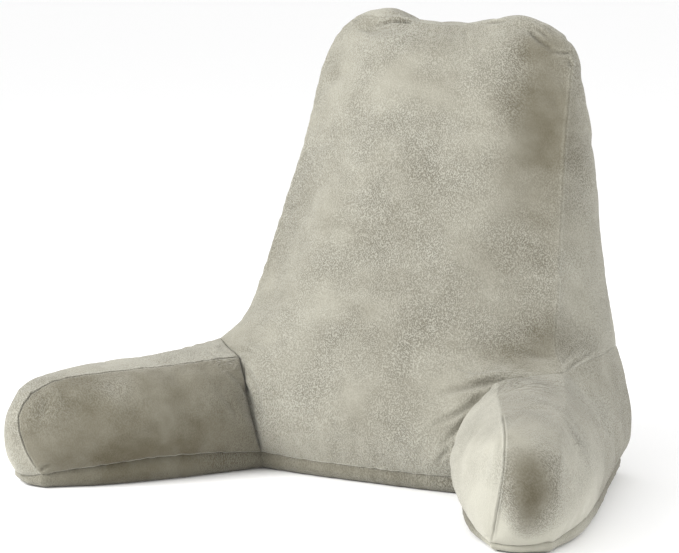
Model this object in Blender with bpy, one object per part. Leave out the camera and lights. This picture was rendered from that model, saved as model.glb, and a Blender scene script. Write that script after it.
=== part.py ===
"""Reading pillow with arms: a filled plush backrest with two soft ears, two boxed arms and a base panel.

Metres, +Z up. X runs along the width, the front faces -Y, and the floor is z = 0. Each panel of the cover is
a grid of points between four seam curves, and its filling crowns it along its own normal. The seams come from
the tables below. Where two filled bodies are sewn to each other, both get the same hidden wall, and each body
is then drawn in by half the gap.
"""

import bmesh
import bpy
import numpy as np
from mathutils.geometry import delaunay_2d_cdt

# Driving dimensions, in metres.
GAP = 0.0003  # between two pieces that touch
SHEET = 0.003  # thickness of the base panel's plush
ROUND = 0.016  # how far in from its seam the base panel reaches the floor
CENTRE_SHIFT = -0.0077  # along Y, puts the middle of the pillow's box on the origin

# Cells of each panel's grid.
ACROSS = 20  # backrest, from side to side
FOOT = 8  # up the arm, from the base to the arm's top
STRIP = 5  # across the arm's gusset
SIDE = 16  # up the backrest's side, above the arm
DEPTH = 6  # across the backrest's gusset
LENGTH = 14  # along the arm

# How far the filling pushes a panel out at its middle, and how far it rises just beside a seam. The front and
# rear panels have profiles of their own instead.
GUSSET_CROWN = 0.005
ARM_INNER_CROWN = 0.028
ARM_STRIP_CROWN = 0.007
ARM_OUTER_CROWN = 0.013
FULLNESS = 0.55  # 1 is a shallow parabola, less is a dome that rises sooner
SEAM_ROLL = 0.005
SEAM_REACH = 0.012

BOW = 0.8  # less makes a front or rear panel flatter across its middle and rounder at its sides
END_PULL = 5  # more keeps the pull of a panel's first and last seams nearer to them
ROWS_BELOW = 1.0  # height of a front or rear panel's row beside the arm, against the next two
ROWS_SHOULDER = 0.4  # the same along the arm's gusset
ROWS_ABOVE = 1.3  # the same above the arm

# Distances from the base panel's edge at which the underside has points.
RINGS = (SHEET, 0.005, 0.008, 0.012, ROUND)
MERGE = 1e-6  # points this near are one
CLEAR = 0.002  # the rings' points stay this far from the foot of a hidden wall
RING_SLACK = 0.97  # a ring's point is dropped where the ring comes nearer to the edge than this share

# Where a hidden wall's foot has its points, as shares of the way from the arm's root to the rear.
WALL_SHARES = (0, 0.018, 0.06, 0.13, 0.23, 0.36, 0.50, 0.64, 0.78, 0.90, 0.965, 1)

# Seams of the +X half. Each row is a point that the seam passes through.
ROOT_SEAM = (  # front panel to the arm's inner panel, upwards
    # x, y, z
    (0.169, 0.000, 0.026),
    (0.176, -0.006, 0.060),
    (0.192, -0.003, 0.110),
    (0.210, 0.007, 0.156),
)
SHOULDER_SEAM = (  # front panel to the arm's gusset, outwards
    # x, y, z
    (0.210, 0.007, 0.156),
    (0.244, 0.030, 0.163),
    (0.276, 0.060, 0.168),
)
HIP_SEAM = (  # backrest's gusset to the arm's outer panel, rearwards
    # x, y, z
    (0.276, 0.060, 0.168),
    (0.281, 0.120, 0.176),
    (0.273, 0.190, 0.180),
    (0.250, 0.262, 0.178),
)
REAR_FOOT_SEAM = (  # rear panel to the arm's outer panel, upwards
    # x, y, z
    (0.265, 0.254, 0.024),
    (0.269, 0.261, 0.060),
    (0.262, 0.264, 0.120),
    (0.250, 0.262, 0.178),
)
FRONT_SIDE_SEAM = (  # front panel to the backrest's gusset, upwards
    # x, y, z
    (0.276, 0.060, 0.168),
    (0.250, 0.084, 0.200),
    (0.237, 0.114, 0.265),
    (0.2245, 0.143, 0.350),
    (0.210, 0.183, 0.473),
    (0.202, 0.210, 0.545),
    (0.192, 0.232, 0.590),
    (0.174, 0.238, 0.613),
)
FRONT_TOP_SEAM = (  # front panel to the backrest's gusset, inwards over the ear
    # x, y, z
    (0.174, 0.238, 0.613),
    (0.147, 0.239, 0.625),
    (0.112, 0.236, 0.6285),
    (0.070, 0.231, 0.616),
    (0.030, 0.227, 0.607),
    (0.000, 0.226, 0.606),
)
REAR_SIDE_SEAM = (  # rear panel to the backrest's gusset, upwards
    # x, y, z
    (0.250, 0.262, 0.178),
    (0.222, 0.269, 0.300),
    (0.209, 0.273, 0.395),
    (0.187, 0.277, 0.500),
    (0.171, 0.280, 0.565),
    (0.150, 0.284, 0.598),
)
REAR_TOP_SEAM = (  # rear panel to the backrest's gusset, inwards
    # x, y, z
    (0.150, 0.284, 0.598),
    (0.130, 0.286, 0.606),
    (0.100, 0.287, 0.608),
    (0.060, 0.286, 0.600),
    (0.000, 0.286, 0.596),
)
FRONT_FOOT_SEAM = (  # front panel to the base panel, from the middle outwards
    # x, y, z
    (0.000, -0.006, 0.024),
    (0.090, -0.005, 0.024),
    (0.169, 0.000, 0.026),
)
REAR_BASE_SEAM = (  # rear panel to the base panel, from the middle outwards
    # x, y, z
    (0.000, 0.262, 0.024),
    (0.150, 0.260, 0.024),
    (0.265, 0.254, 0.024),
)
INNER_FOOT_SEAM = (  # arm's inner panel to the base panel, from the root to the tip
    # x, y, z
    (0.169, 0.000, 0.026),
    (0.203, -0.075, 0.034),
    (0.242, -0.147, 0.036),
    (0.289, -0.214, 0.031),
    (0.351, -0.269, 0.022),
)
TIP_FOOT_SEAM = (  # arm's gusset to the base panel, outwards
    # x, y, z
    (0.351, -0.269, 0.022),
    (0.387, -0.264, 0.016),
    (0.420, -0.238, 0.016),
)
OUTER_FOOT_SEAM = (  # arm's outer panel to the base panel, from the rear to the tip
    # x, y, z
    (0.265, 0.254, 0.024),
    (0.322, 0.110, 0.028),
    (0.378, -0.030, 0.028),
    (0.416, -0.150, 0.024),
    (0.420, -0.238, 0.016),
)
INNER_TOP_SEAM = (  # arm's inner panel to its gusset, from the root to the rounded corner of the tip
    # x, y, z
    (0.210, 0.007, 0.156),
    (0.248, -0.067, 0.154),
    (0.302, -0.152, 0.150),
    (0.347, -0.224, 0.146),
    (0.3725, -0.265, 0.130),
)
INNER_TIP_SEAM = (  # the same seam down the front of the tip, upwards
    # x, y, z
    (0.351, -0.269, 0.022),
    (0.369, -0.281, 0.062),
    (0.3785, -0.283, 0.099),
    (0.3725, -0.265, 0.130),
)
OUTER_TOP_SEAM = (  # arm's outer panel to its gusset, from the root to the rounded corner of the tip
    # x, y, z
    (0.276, 0.060, 0.168),
    (0.322, -0.020, 0.156),
    (0.365, -0.105, 0.149),
    (0.401, -0.180, 0.142),
    (0.424, -0.222, 0.126),
)
OUTER_TIP_SEAM = (  # the same seam down the front of the tip, upwards
    # x, y, z
    (0.420, -0.238, 0.016),
    (0.430, -0.248, 0.060),
    (0.433, -0.246, 0.095),
    (0.424, -0.222, 0.126),
)
FRONT_PROFILE = (  # middle of the front panel, upwards
    # y, z
    (-0.006, 0.024),
    (-0.016, 0.060),
    (-0.005, 0.120),
    (0.030, 0.200),
    (0.072, 0.300),
    (0.113, 0.400),
    (0.157, 0.500),
    (0.195, 0.570),
    (0.226, 0.606),
)
REAR_PROFILE = (  # middle of the rear panel, upwards
    # y, z
    (0.262, 0.024),
    (0.276, 0.080),
    (0.292, 0.300),
    (0.299, 0.450),
    (0.297, 0.550),
    (0.286, 0.596),
)


def smooth(rows):
    """A fine polyline through the rows, by Catmull-Rom."""
    knots = np.array(rows)
    before = 2 * knots[0] - knots[1]
    after = 2 * knots[-1] - knots[-2]
    knots = np.vstack([before, knots, after])
    t = np.linspace(0, 1, 33)[:-1, None]
    spans = []
    for a, b, c, d in zip(knots[:-3], knots[1:-2], knots[2:-1], knots[3:]):
        bend = (2 * a - 5 * b + 4 * c - d) * t**2 + (3 * (b - c) + d - a) * t**3
        spans.append(b + 0.5 * ((c - a) * t + bend))
    return np.vstack(spans + [knots[-2:-1]])


def resample(points, fractions):
    """Points at the given fractions of a polyline's length."""
    steps = np.linalg.norm(np.diff(points, axis=0), axis=1)
    along = np.concatenate([[0], np.cumsum(steps)])
    wanted = np.asarray(fractions) * along[-1]
    return np.stack([np.interp(wanted, along, column) for column in points.T], axis=1)


def curve(rows, cells):
    """A smooth curve through the rows, as cells + 1 points at equal steps."""
    return resample(smooth(rows), np.linspace(0, 1, cells + 1))


def join(*curves):
    """One curve from several that follow on, with their shared ends kept once."""
    return np.vstack([curves[0]] + [each[1:] for each in curves[1:]])


def mirror(points):
    return points * (-1, 1, 1)


def both_sides(half):
    """A curve from -X to +X, from its half that starts at x = 0."""
    return join(mirror(half)[::-1], half)


def coons(low, high, left, right):
    """The grid between four curves: the two ruled surfaces added, less the bilinear one on the corners."""
    u = np.linspace(0, 1, len(low))[:, None, None]
    v = np.linspace(0, 1, len(left))[None, :, None]
    across = low[:, None] * (1 - v) + high[:, None] * v
    along = left[None] * (1 - u) + right[None] * u
    near = low[0] * (1 - u) + low[-1] * u
    far = high[0] * (1 - u) + high[-1] * u
    return across + along - near * (1 - v) - far * v


def crowned(grid, crown, outward):
    """The grid pushed along its normals by its filling: a dome, and a quick rise beside each seam.

    The dome is crown * (4u(1-u) * 4v(1-v)) ** FULLNESS. The rise is SEAM_ROLL * (1 - exp(-d / SEAM_REACH)),
    where d is the distance to the nearest edge. outward is any direction that points out of the filling.
    """
    du = np.gradient(grid, axis=0)
    dv = np.gradient(grid, axis=1)
    normal = np.cross(du, dv)
    normal /= np.linalg.norm(normal, axis=2, keepdims=True)
    if normal.mean(axis=(0, 1)) @ np.array(outward) < 0:
        normal = -normal
    u = np.linspace(0, 1, grid.shape[0])[:, None]
    v = np.linspace(0, 1, grid.shape[1])[None]
    dome = crown * (16 * u * (1 - u) * v * (1 - v)) ** FULLNESS
    across = np.linalg.norm(du, axis=2).sum(axis=0)[None]
    along = np.linalg.norm(dv, axis=2).sum(axis=1)[:, None]
    edge = np.minimum(np.minimum(u, 1 - u) * across, np.minimum(v, 1 - v) * along)
    rise = SEAM_ROLL * (1 - np.exp(-edge / SEAM_REACH))
    return grid + normal * (dome + rise)[..., None]


def wide_panel(edge, steps, profile, low, high):
    """The front or rear panel: rows from side to side that bow out to the profile at their middle.

    A row runs from -edge to +edge. At a, from -1 to 1, it has left its edge by (1 - a*a) ** BOW of the way to
    the profile, whose points are spaced by steps. The seams low and high then pull in the rows next to them.
    """
    a = np.linspace(-1, 1, len(low))[:, None]
    spacing = np.concatenate([[0], np.cumsum(steps)])
    middle = resample(smooth(profile), spacing / spacing[-1])
    bow = (1 - a * a) ** BOW
    x = a * edge[:, 0]
    y = edge[:, 1] + bow * (middle[:, 0] - edge[:, 1])
    z = edge[:, 2] + bow * (middle[:, 1] - edge[:, 2])
    grid = np.stack([x, y, z], axis=2)
    v = np.linspace(0, 1, len(edge))[None, :, None]
    to_low = (low - grid[:, 0])[:, None] * (1 - v) ** END_PULL
    to_high = (high - grid[:, -1])[:, None] * v**END_PULL
    return grid + to_low + to_high


def seam_curves():
    """Every seam of the +X half as points, by name."""
    return {
        "root": curve(ROOT_SEAM, FOOT),
        "shoulder": curve(SHOULDER_SEAM, STRIP),
        "hip": curve(HIP_SEAM, DEPTH),
        "rear_foot": curve(REAR_FOOT_SEAM, FOOT),
        "front_side": curve(FRONT_SIDE_SEAM, SIDE),
        "front_top": curve(FRONT_TOP_SEAM, ACROSS // 2)[::-1],
        "rear_side": curve(REAR_SIDE_SEAM, SIDE),
        "rear_top": curve(REAR_TOP_SEAM, ACROSS // 2)[::-1],
        "front_foot": curve(FRONT_FOOT_SEAM, ACROSS // 2),
        "rear_base": curve(REAR_BASE_SEAM, ACROSS // 2),
        "inner_foot": curve(INNER_FOOT_SEAM, LENGTH),
        "tip_foot": curve(TIP_FOOT_SEAM, STRIP),
        "outer_foot": curve(OUTER_FOOT_SEAM, DEPTH + LENGTH),
        "inner_top": curve(INNER_TOP_SEAM, LENGTH),
        "inner_tip": curve(INNER_TIP_SEAM, FOOT),
        "outer_top": curve(OUTER_TOP_SEAM, LENGTH),
        "outer_tip": curve(OUTER_TIP_SEAM, FOOT),
    }


def footprint(seams):
    """The base panel's edge as one loop, anticlockwise from above, starting at the -X arm's root."""
    arm = join(seams["inner_foot"], seams["tip_foot"], seams["outer_foot"][::-1])
    front = both_sides(seams["front_foot"])
    rear = both_sides(seams["rear_base"])
    return join(front, arm, rear[::-1], mirror(arm)[::-1])[:-1]


def to_edge(points, loop):
    """Each point's distance in plan to the loop, and the loop's height at the nearest place."""
    start = loop
    step = np.roll(loop, -1, axis=0) - start
    offset = points[:, None, :2] - start[None, :, :2]
    share = (offset * step[None, :, :2]).sum(axis=2) / (step[:, :2] ** 2).sum(axis=1)
    share = share.clip(0, 1)
    distance = np.linalg.norm(offset - share[..., None] * step[None, :, :2], axis=2)
    nearest = distance.argmin(axis=1)
    rows = np.arange(len(points))
    height = start[nearest, 2] + share[rows, nearest] * step[nearest, 2]
    return distance[rows, nearest], height


def bowl(plan, outline, wall):
    """The plan points at their heights on the underside: a quarter ellipse down from the seam, then flat.

    With d the distance from the edge and r = (ROUND - d) / (ROUND - wall), a point's height is
    wall + (seam - wall) * (1 - sqrt(1 - r * r)). wall is 0 for the outer face of the base panel and the
    sheet's thickness for its inner face. Within that distance of the edge the surface is level with the seam.
    """
    distance, seam = to_edge(plan, outline)
    reach = ((ROUND - distance) / (ROUND - wall)).clip(0, 1)
    height = wall + (seam - wall) * (1 - np.sqrt(1 - reach**2))
    return np.column_stack([plan[:, :2], height])


def inset(loop, distance):
    """The anticlockwise loop moved in by a distance, with mitred corners."""
    ahead = np.roll(loop, -1, axis=0) - loop
    inward = np.column_stack([-ahead[:, 1], ahead[:, 0]])
    inward /= np.linalg.norm(inward, axis=1, keepdims=True)
    before = np.roll(inward, 1, axis=0)
    mitre = (before + inward) / (1 + (before * inward).sum(axis=1, keepdims=True))
    moved = loop.copy()
    moved[:, :2] += distance * mitre
    return moved


def underside(outline, wall_foot):
    """The underside in plan: its points, and a net of triangles with edges along the hidden walls' feet."""
    root = ACROSS
    rear = ACROSS + LENGTH + STRIP + LENGTH + DEPTH
    corners = outline[[root, rear]]
    rings = []
    for distance in RINGS:
        ring = inset(outline, distance)
        apart = to_edge(ring, outline)[0] > RING_SLACK * distance
        clear = np.minimum(to_edge(ring, corners)[0], to_edge(ring, mirror(corners))[0]) > CLEAR
        rings.append(ring[apart & clear])
    right_foot = wall_foot[1:-1]
    left_foot = mirror(right_foot)
    plan = np.vstack([outline, right_foot, left_foot, *rings])
    first = len(outline)
    middle = first + len(right_foot)
    last = middle + len(left_foot)
    loops = [
        [*range(first), 0],
        [root, *range(first, middle), rear],
        [0, *range(middle, last), rear + ACROSS],
    ]
    edges = [edge for loop in loops for edge in zip(loop, loop[1:])]
    net = delaunay_2d_cdt([tuple(point) for point in plan[:, :2]], edges, [], 1, 1e-7)
    where = [sources[0] for sources in net[3]]
    triangles = np.array([[where[corner] for corner in face] for face in net[2]])
    return plan, triangles


def beyond(plan, triangles, corners):
    """Which triangles lie on the right of the line between the two corners, in plan."""
    middle = plan[triangles].mean(axis=1)
    step = corners[1] - corners[0]
    offset = middle - corners[0]
    return step[0] * offset[:, 1] - step[1] * offset[:, 0] < 0


def paint(name, colour):
    """Short-pile plush in one colour."""
    material = bpy.data.materials.new(name)
    material.use_nodes = True
    shader = material.node_tree.nodes["Principled BSDF"]
    shader.inputs["Base Color"].default_value = (*colour, 1)
    shader.inputs["Roughness"].default_value = 0.9
    shader.inputs["Metallic"].default_value = 0.0
    return material


def body(name, grids, nets, material, draw_in):
    """One closed solid from grids and triangle nets that share their edges, drawn in all over."""
    shape = bmesh.new()
    for grid in grids:
        rows = [[shape.verts.new(point) for point in line] for line in grid]
        for low, high in zip(rows, rows[1:]):
            for corners in zip(low, high, high[1:], low[1:]):
                shape.faces.new(corners)
    for points, triangles in nets:
        corners = {index: shape.verts.new(points[index]) for index in np.unique(triangles)}
        for triangle in triangles:
            shape.faces.new([corners[index] for index in triangle])
    bmesh.ops.remove_doubles(shape, verts=shape.verts, dist=MERGE)
    bmesh.ops.dissolve_degenerate(shape, edges=shape.edges, dist=MERGE)
    bmesh.ops.recalc_face_normals(shape, faces=shape.faces)
    shape.normal_update()
    moves = [(point, point.normal * point.calc_shell_factor()) for point in shape.verts]
    for point, move in moves:
        point.co -= move * draw_in
        point.co.y += CENTRE_SHIFT
    mesh = bpy.data.meshes.new(name)
    shape.to_mesh(mesh)
    shape.free()
    mesh.shade_smooth()
    mesh.materials.append(material)
    node = bpy.data.objects.new(name, mesh)
    bpy.context.collection.objects.link(node)
    return node


def main():
    for old in list(bpy.data.objects):
        bpy.data.objects.remove(old)
    plush = paint("plush", (0.50, 0.48, 0.40))
    plush_shade = paint("plush_base", (0.42, 0.40, 0.33))
    seams = seam_curves()
    outline = footprint(seams)
    under = SHEET + GAP

    corners = np.array([seams["root"][0], seams["rear_foot"][0]])
    wall_foot = bowl(resample(corners, WALL_SHARES), outline, under)
    wall_foot[[0, -1]] = corners
    wall_top = join(seams["shoulder"], seams["hip"])
    wall = coons(wall_foot, wall_top, seams["root"], seams["rear_foot"])

    plan, triangles = underside(outline, wall_foot)
    right = beyond(plan, triangles, corners)
    left = beyond(plan, triangles, mirror(corners)[::-1])
    seat = bowl(plan, outline, under)

    front_edge = join(seams["root"], seams["shoulder"], seams["front_side"])
    front_steps = [ROWS_BELOW] * FOOT + [ROWS_SHOULDER] * STRIP + [ROWS_ABOVE] * SIDE
    front_top = both_sides(seams["front_top"])
    front_foot = both_sides(seams["front_foot"])
    front = wide_panel(front_edge, front_steps, FRONT_PROFILE, front_foot, front_top)
    rear_edge = join(seams["rear_foot"], seams["rear_side"])
    rear_steps = [ROWS_BELOW] * FOOT + [ROWS_ABOVE] * SIDE
    rear_top = both_sides(seams["rear_top"])
    rear_foot = both_sides(seams["rear_base"])
    rear = wide_panel(rear_edge, rear_steps, REAR_PROFILE, rear_foot, rear_top)
    front_rim = join(seams["front_side"], front_top[::-1], mirror(seams["front_side"])[::-1])
    rear_rim = join(seams["rear_side"], rear_top[::-1], mirror(seams["rear_side"])[::-1])
    gusset = coons(front_rim, rear_rim, seams["hip"], mirror(seams["hip"]))
    skins = [
        crowned(front, 0, (0, -1, 0)),
        crowned(rear, 0, (0, 1, 0)),
        crowned(gusset, GUSSET_CROWN, (0, 0, 1)),
        wall,
        mirror(wall),
    ]
    body("backrest", skins, [(seat, triangles[~right & ~left])], plush, GAP / 2)

    inner = coons(seams["inner_foot"], seams["inner_top"], seams["root"], seams["inner_tip"])
    strip_in = join(seams["inner_top"], seams["inner_tip"][::-1])
    strip_out = join(seams["outer_top"], seams["outer_tip"][::-1])
    strip = coons(strip_in, strip_out, seams["shoulder"], seams["tip_foot"])
    outer_top = join(seams["hip"][::-1], seams["outer_top"])
    outer = coons(seams["outer_foot"], outer_top, seams["rear_foot"], seams["outer_tip"])
    arm_skins = [
        crowned(inner, ARM_INNER_CROWN, (-1, -1, 0)),
        crowned(strip, ARM_STRIP_CROWN, (0, 0, 1)),
        crowned(outer, ARM_OUTER_CROWN, (1, 0, 0)),
        wall,
    ]
    body("arm_right", arm_skins, [(seat, triangles[right])], plush, GAP / 2)
    body("arm_left", [mirror(skin) for skin in arm_skins], [(seat, triangles[left])], plush, GAP / 2)

    rim = outline - (0, 0, GAP)
    faces = [(bowl(plan, rim, wall), triangles) for wall in (0, SHEET)]
    body("base_panel", [], faces, plush_shade, 0)


main()
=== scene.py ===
# %% [markdown]
# # A reading pillow with arms
#
# A reading pillow is a cover of short-pile plush, cut as flat panels, sewn along their edges and stuffed tight.
# What the eye reads as "pillow" is the difference between the flat panels and the stuffed form: panels crown
# between their seams, seams stay low and pucker, and the pile catches the light where it was last brushed.
#
# This script works in that order. It loads the plain solids that fix the pillow's size, sets up the picture,
# draws the seams, spans the panels between them, blows the cover up with cloth physics, adds the seams' relief
# and the creases, closes each sewn body, and gives the plush its nap. Lengths are in metres, +Z is up, and the
# sitter faces -Y.

import bpy
import numpy as np
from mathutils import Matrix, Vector
from mathutils.geometry import delaunay_2d_cdt


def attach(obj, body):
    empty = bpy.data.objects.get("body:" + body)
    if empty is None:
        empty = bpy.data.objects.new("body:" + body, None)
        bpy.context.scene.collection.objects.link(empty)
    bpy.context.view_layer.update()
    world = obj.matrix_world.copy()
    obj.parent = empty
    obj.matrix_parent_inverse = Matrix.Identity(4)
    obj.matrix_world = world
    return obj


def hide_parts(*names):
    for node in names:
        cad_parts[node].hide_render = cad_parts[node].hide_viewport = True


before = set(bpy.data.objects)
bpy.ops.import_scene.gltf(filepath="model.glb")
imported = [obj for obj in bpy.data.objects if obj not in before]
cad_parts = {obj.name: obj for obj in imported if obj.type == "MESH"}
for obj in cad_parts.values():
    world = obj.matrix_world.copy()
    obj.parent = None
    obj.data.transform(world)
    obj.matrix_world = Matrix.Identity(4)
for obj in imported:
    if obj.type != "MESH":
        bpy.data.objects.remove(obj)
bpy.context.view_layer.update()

# %% [markdown]
# ## The picture
#
# The camera stands where the photographer stood: a little to the right of the pillow's front, just above its
# middle, and far off with a long lens, so that the arms barely converge. Azimuth and elevation say it in the
# terms of a tripod, and two vectors turn them into a place.
#
# The light is a big soft source on the left, which leaves the left arm's inner panel in shade and lights the
# right arm's, with a weaker one on the right and a bright room. The floor is a plain pale sheet.

# %% Camera
CAMERA_AZIMUTH = np.radians(32.25)  # 0 looks along +Y
CAMERA_ELEVATION = np.radians(8.15)
CAMERA_DISTANCE = 4.265
CAMERA_TARGET = np.array([-0.0395, -0.0077, 0.2845])
LENS_MM = 164.9  # on a sensor 36 mm wide

level = np.cos(CAMERA_ELEVATION)
towards_camera = np.array([
    np.sin(CAMERA_AZIMUTH) * level,
    -np.cos(CAMERA_AZIMUTH) * level,
    np.sin(CAMERA_ELEVATION),
])
camera_right = np.array([np.cos(CAMERA_AZIMUTH), np.sin(CAMERA_AZIMUTH), 0.0])


def look_from(obj, place, target):
    """Puts an object at place, with its -Z axis at the target."""
    obj.location = Vector(place)
    obj.rotation_mode = "QUATERNION"
    obj.rotation_quaternion = (Vector(target) - Vector(place)).to_track_quat("-Z", "Y")


camera_data = bpy.data.cameras.new("camera")
camera_data.lens = LENS_MM
camera_data.sensor_width = 36
camera_data.clip_end = 50
camera = bpy.data.objects.new("camera", camera_data)
bpy.context.collection.objects.link(camera)
look_from(camera, CAMERA_TARGET + CAMERA_DISTANCE * towards_camera, CAMERA_TARGET)
bpy.context.scene.camera = camera
print("camera at", [round(value, 3) for value in camera.location])

# %% Light and floor
KEY_LIGHT = {"right": -2.4, "front": 1.0, "up": 1.6, "size": 1.6, "power": 104}
FILL_LIGHT = {"right": 2.6, "front": 1.4, "up": 1.2, "size": 2.4, "power": 34}
ROOM_LIGHT = 1.0
FLOOR_GREY = 0.97


def softbox(name, plan):
    """A square area light, placed by how far it is to the camera's right, to its front and up."""
    light = bpy.data.lights.new(name, "AREA")
    light.shape = "SQUARE"
    light.size = plan["size"]
    light.energy = plan["power"]
    lamp = bpy.data.objects.new(name, light)
    bpy.context.collection.objects.link(lamp)
    front = towards_camera * (1, 1, 0)
    place = CAMERA_TARGET + plan["right"] * camera_right + plan["front"] * front
    look_from(lamp, place + (0, 0, plan["up"]), CAMERA_TARGET)


softbox("key_light", KEY_LIGHT)
softbox("fill_light", FILL_LIGHT)

world = bpy.data.worlds.new("room")
world.use_nodes = True
world.node_tree.nodes["Background"].inputs["Color"].default_value = (1, 1, 1, 1)
world.node_tree.nodes["Background"].inputs["Strength"].default_value = ROOM_LIGHT
bpy.context.scene.world = world
bpy.context.scene.view_settings.view_transform = "Standard"


def sheet_of_floor():
    """A square of floor at z = 0, wide enough for every view."""
    half = 12.0
    mesh = bpy.data.meshes.new("floor")
    corners = [(-half, -half, 0), (half, -half, 0), (half, half, 0), (-half, half, 0)]
    mesh.from_pydata(corners, [], [(0, 1, 2, 3)])
    paint = bpy.data.materials.new("floor")
    paint.use_nodes = True
    shader = paint.node_tree.nodes["Principled BSDF"]
    shader.inputs["Base Color"].default_value = (FLOOR_GREY, FLOOR_GREY, FLOOR_GREY, 1)
    shader.inputs["Roughness"].default_value = 0.8
    mesh.materials.append(paint)
    floor = bpy.data.objects.new("floor", mesh)
    bpy.context.collection.objects.link(floor)
    return floor


sheet_of_floor()

# %% [markdown]
# ## Seams
#
# A maker's pattern is a set of seams, so the pillow starts from them. Each row below is a point that the seam
# passes through on the +X half, and a Catmull-Rom curve joins them. The middle of the front and rear panels has
# no seam, so a profile (y, z) stands in for one there. The tables are the ones that the solids were made from,
# so the cover has their size.

# %% Seam tables
CENTRE_SHIFT = np.array([0.0, -0.0077, 0.0])  # from the tables' frame to the pillow's

SEAMS = {
    # Between the backrest and the arm.
    "root": [(0.169, 0.000, 0.026), (0.176, -0.006, 0.060), (0.192, -0.003, 0.110), (0.210, 0.007, 0.156)],
    "shoulder": [(0.210, 0.007, 0.156), (0.244, 0.030, 0.163), (0.276, 0.060, 0.168)],
    "hip": [(0.276, 0.060, 0.168), (0.281, 0.120, 0.176), (0.273, 0.190, 0.180), (0.250, 0.262, 0.178)],
    "rear_foot": [(0.265, 0.254, 0.024), (0.269, 0.261, 0.060), (0.262, 0.264, 0.120), (0.250, 0.262, 0.178)],
    # Round the backrest's gusset.
    "front_side": [
        (0.276, 0.060, 0.168),
        (0.250, 0.084, 0.200),
        (0.237, 0.114, 0.265),
        (0.2245, 0.143, 0.350),
        (0.210, 0.183, 0.473),
        (0.202, 0.210, 0.545),
        (0.192, 0.232, 0.590),
        (0.174, 0.238, 0.613),
    ],
    "front_top": [
        (0.174, 0.238, 0.613),
        (0.147, 0.237, 0.627),
        (0.112, 0.234, 0.633),
        (0.070, 0.229, 0.624),
        (0.030, 0.225, 0.617),
        (0.000, 0.224, 0.616),
    ],
    "rear_side": [
        (0.250, 0.262, 0.178),
        (0.222, 0.269, 0.300),
        (0.209, 0.273, 0.395),
        (0.187, 0.277, 0.500),
        (0.171, 0.280, 0.565),
        (0.150, 0.284, 0.598),
    ],
    "rear_top": [
        (0.150, 0.284, 0.598),
        (0.130, 0.286, 0.606),
        (0.100, 0.287, 0.608),
        (0.060, 0.286, 0.600),
        (0.000, 0.286, 0.596),
    ],
    # Round the base panel.
    "front_foot": [(0.000, -0.006, 0.024), (0.090, -0.005, 0.024), (0.169, 0.000, 0.026)],
    "rear_base": [(0.000, 0.262, 0.024), (0.150, 0.260, 0.024), (0.265, 0.254, 0.024)],
    "inner_foot": [
        (0.169, 0.000, 0.026),
        (0.203, -0.075, 0.034),
        (0.242, -0.147, 0.036),
        (0.289, -0.214, 0.031),
        (0.351, -0.269, 0.022),
    ],
    "tip_foot": [(0.351, -0.269, 0.022), (0.387, -0.264, 0.016), (0.420, -0.238, 0.016)],
    "outer_foot": [
        (0.265, 0.254, 0.024),
        (0.322, 0.110, 0.028),
        (0.378, -0.030, 0.028),
        (0.416, -0.150, 0.024),
        (0.420, -0.238, 0.016),
    ],
    # Round the arm's gusset.
    "inner_top": [
        (0.210, 0.007, 0.156),
        (0.248, -0.067, 0.154),
        (0.302, -0.152, 0.150),
        (0.347, -0.224, 0.146),
        (0.3725, -0.265, 0.130),
    ],
    "inner_tip": [(0.351, -0.269, 0.022), (0.369, -0.281, 0.062), (0.3785, -0.283, 0.099), (0.3725, -0.265, 0.130)],
    "outer_top": [
        (0.276, 0.060, 0.168),
        (0.322, -0.020, 0.156),
        (0.365, -0.105, 0.149),
        (0.401, -0.180, 0.142),
        (0.424, -0.222, 0.126),
    ],
    "outer_tip": [(0.420, -0.238, 0.016), (0.430, -0.248, 0.060), (0.433, -0.246, 0.095), (0.424, -0.222, 0.126)],
}
FRONT_PROFILE = [
    (-0.006, 0.024),
    (-0.016, 0.060),
    (-0.005, 0.120),
    (0.030, 0.200),
    (0.072, 0.300),
    (0.113, 0.400),
    (0.157, 0.500),
    (0.195, 0.570),
    (0.226, 0.606),
]
REAR_PROFILE = [(0.262, 0.024), (0.276, 0.080), (0.292, 0.300), (0.299, 0.450), (0.297, 0.550), (0.286, 0.596)]
print(len(SEAMS), "seams on each half")

# %% [markdown]
# ## Spacing
#
# A seam is two or three millimetres wide and a panel is half a metre, so an even grid is either too coarse at
# the seams or far too heavy. Each direction of the pattern has a list of stations from 0 to 1 instead. The
# physics uses even stations. The finished cover uses graded ones, with a few lines close to every seam.

# %% Stations along each direction of the pattern
LENGTHS = {"across": 0.21, "foot": 0.135, "shoulder": 0.075, "side": 0.47, "depth": 0.13, "length": 0.32}
NEAR_SEAM = np.array([0.0, 0.0007, 0.0016, 0.0028, 0.0043, 0.0061, 0.0084])
COARSE_CELL = 0.0075
FINE_CELL = 0.0036


def even(length):
    """Stations one coarse cell apart."""
    return np.linspace(0, 1, round(length / COARSE_CELL) + 1)


def graded(length, name):
    """Stations that crowd at both ends, where the seams are. The half width crowds at its outer end only."""
    start = NEAR_SEAM if name != "across" else NEAR_SEAM[:1]
    end = length - NEAR_SEAM[::-1]
    middle = np.linspace(start[-1], end[0], round((end[0] - start[-1]) / FINE_CELL) + 1)
    return np.concatenate([start[:-1], middle, end[1:]]) / length


def chain(*runs):
    """Runs of stations that follow on, each given with its share, as one list from 0 to 1."""
    total = sum(share for stations, share in runs)
    found = [np.array([0.0])]
    for stations, share in runs:
        found.append(found[-1][-1] + stations[1:] * share / total)
    return np.concatenate(found)


def back(stations):
    """The stations read from the other end."""
    return 1 - stations[::-1]


coarse = {name: even(length) for name, length in LENGTHS.items()}
fine = {name: graded(length, name) for name, length in LENGTHS.items()}
print("cells of each run", {name: (len(coarse[name]) - 1, len(fine[name]) - 1) for name in LENGTHS})

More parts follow.
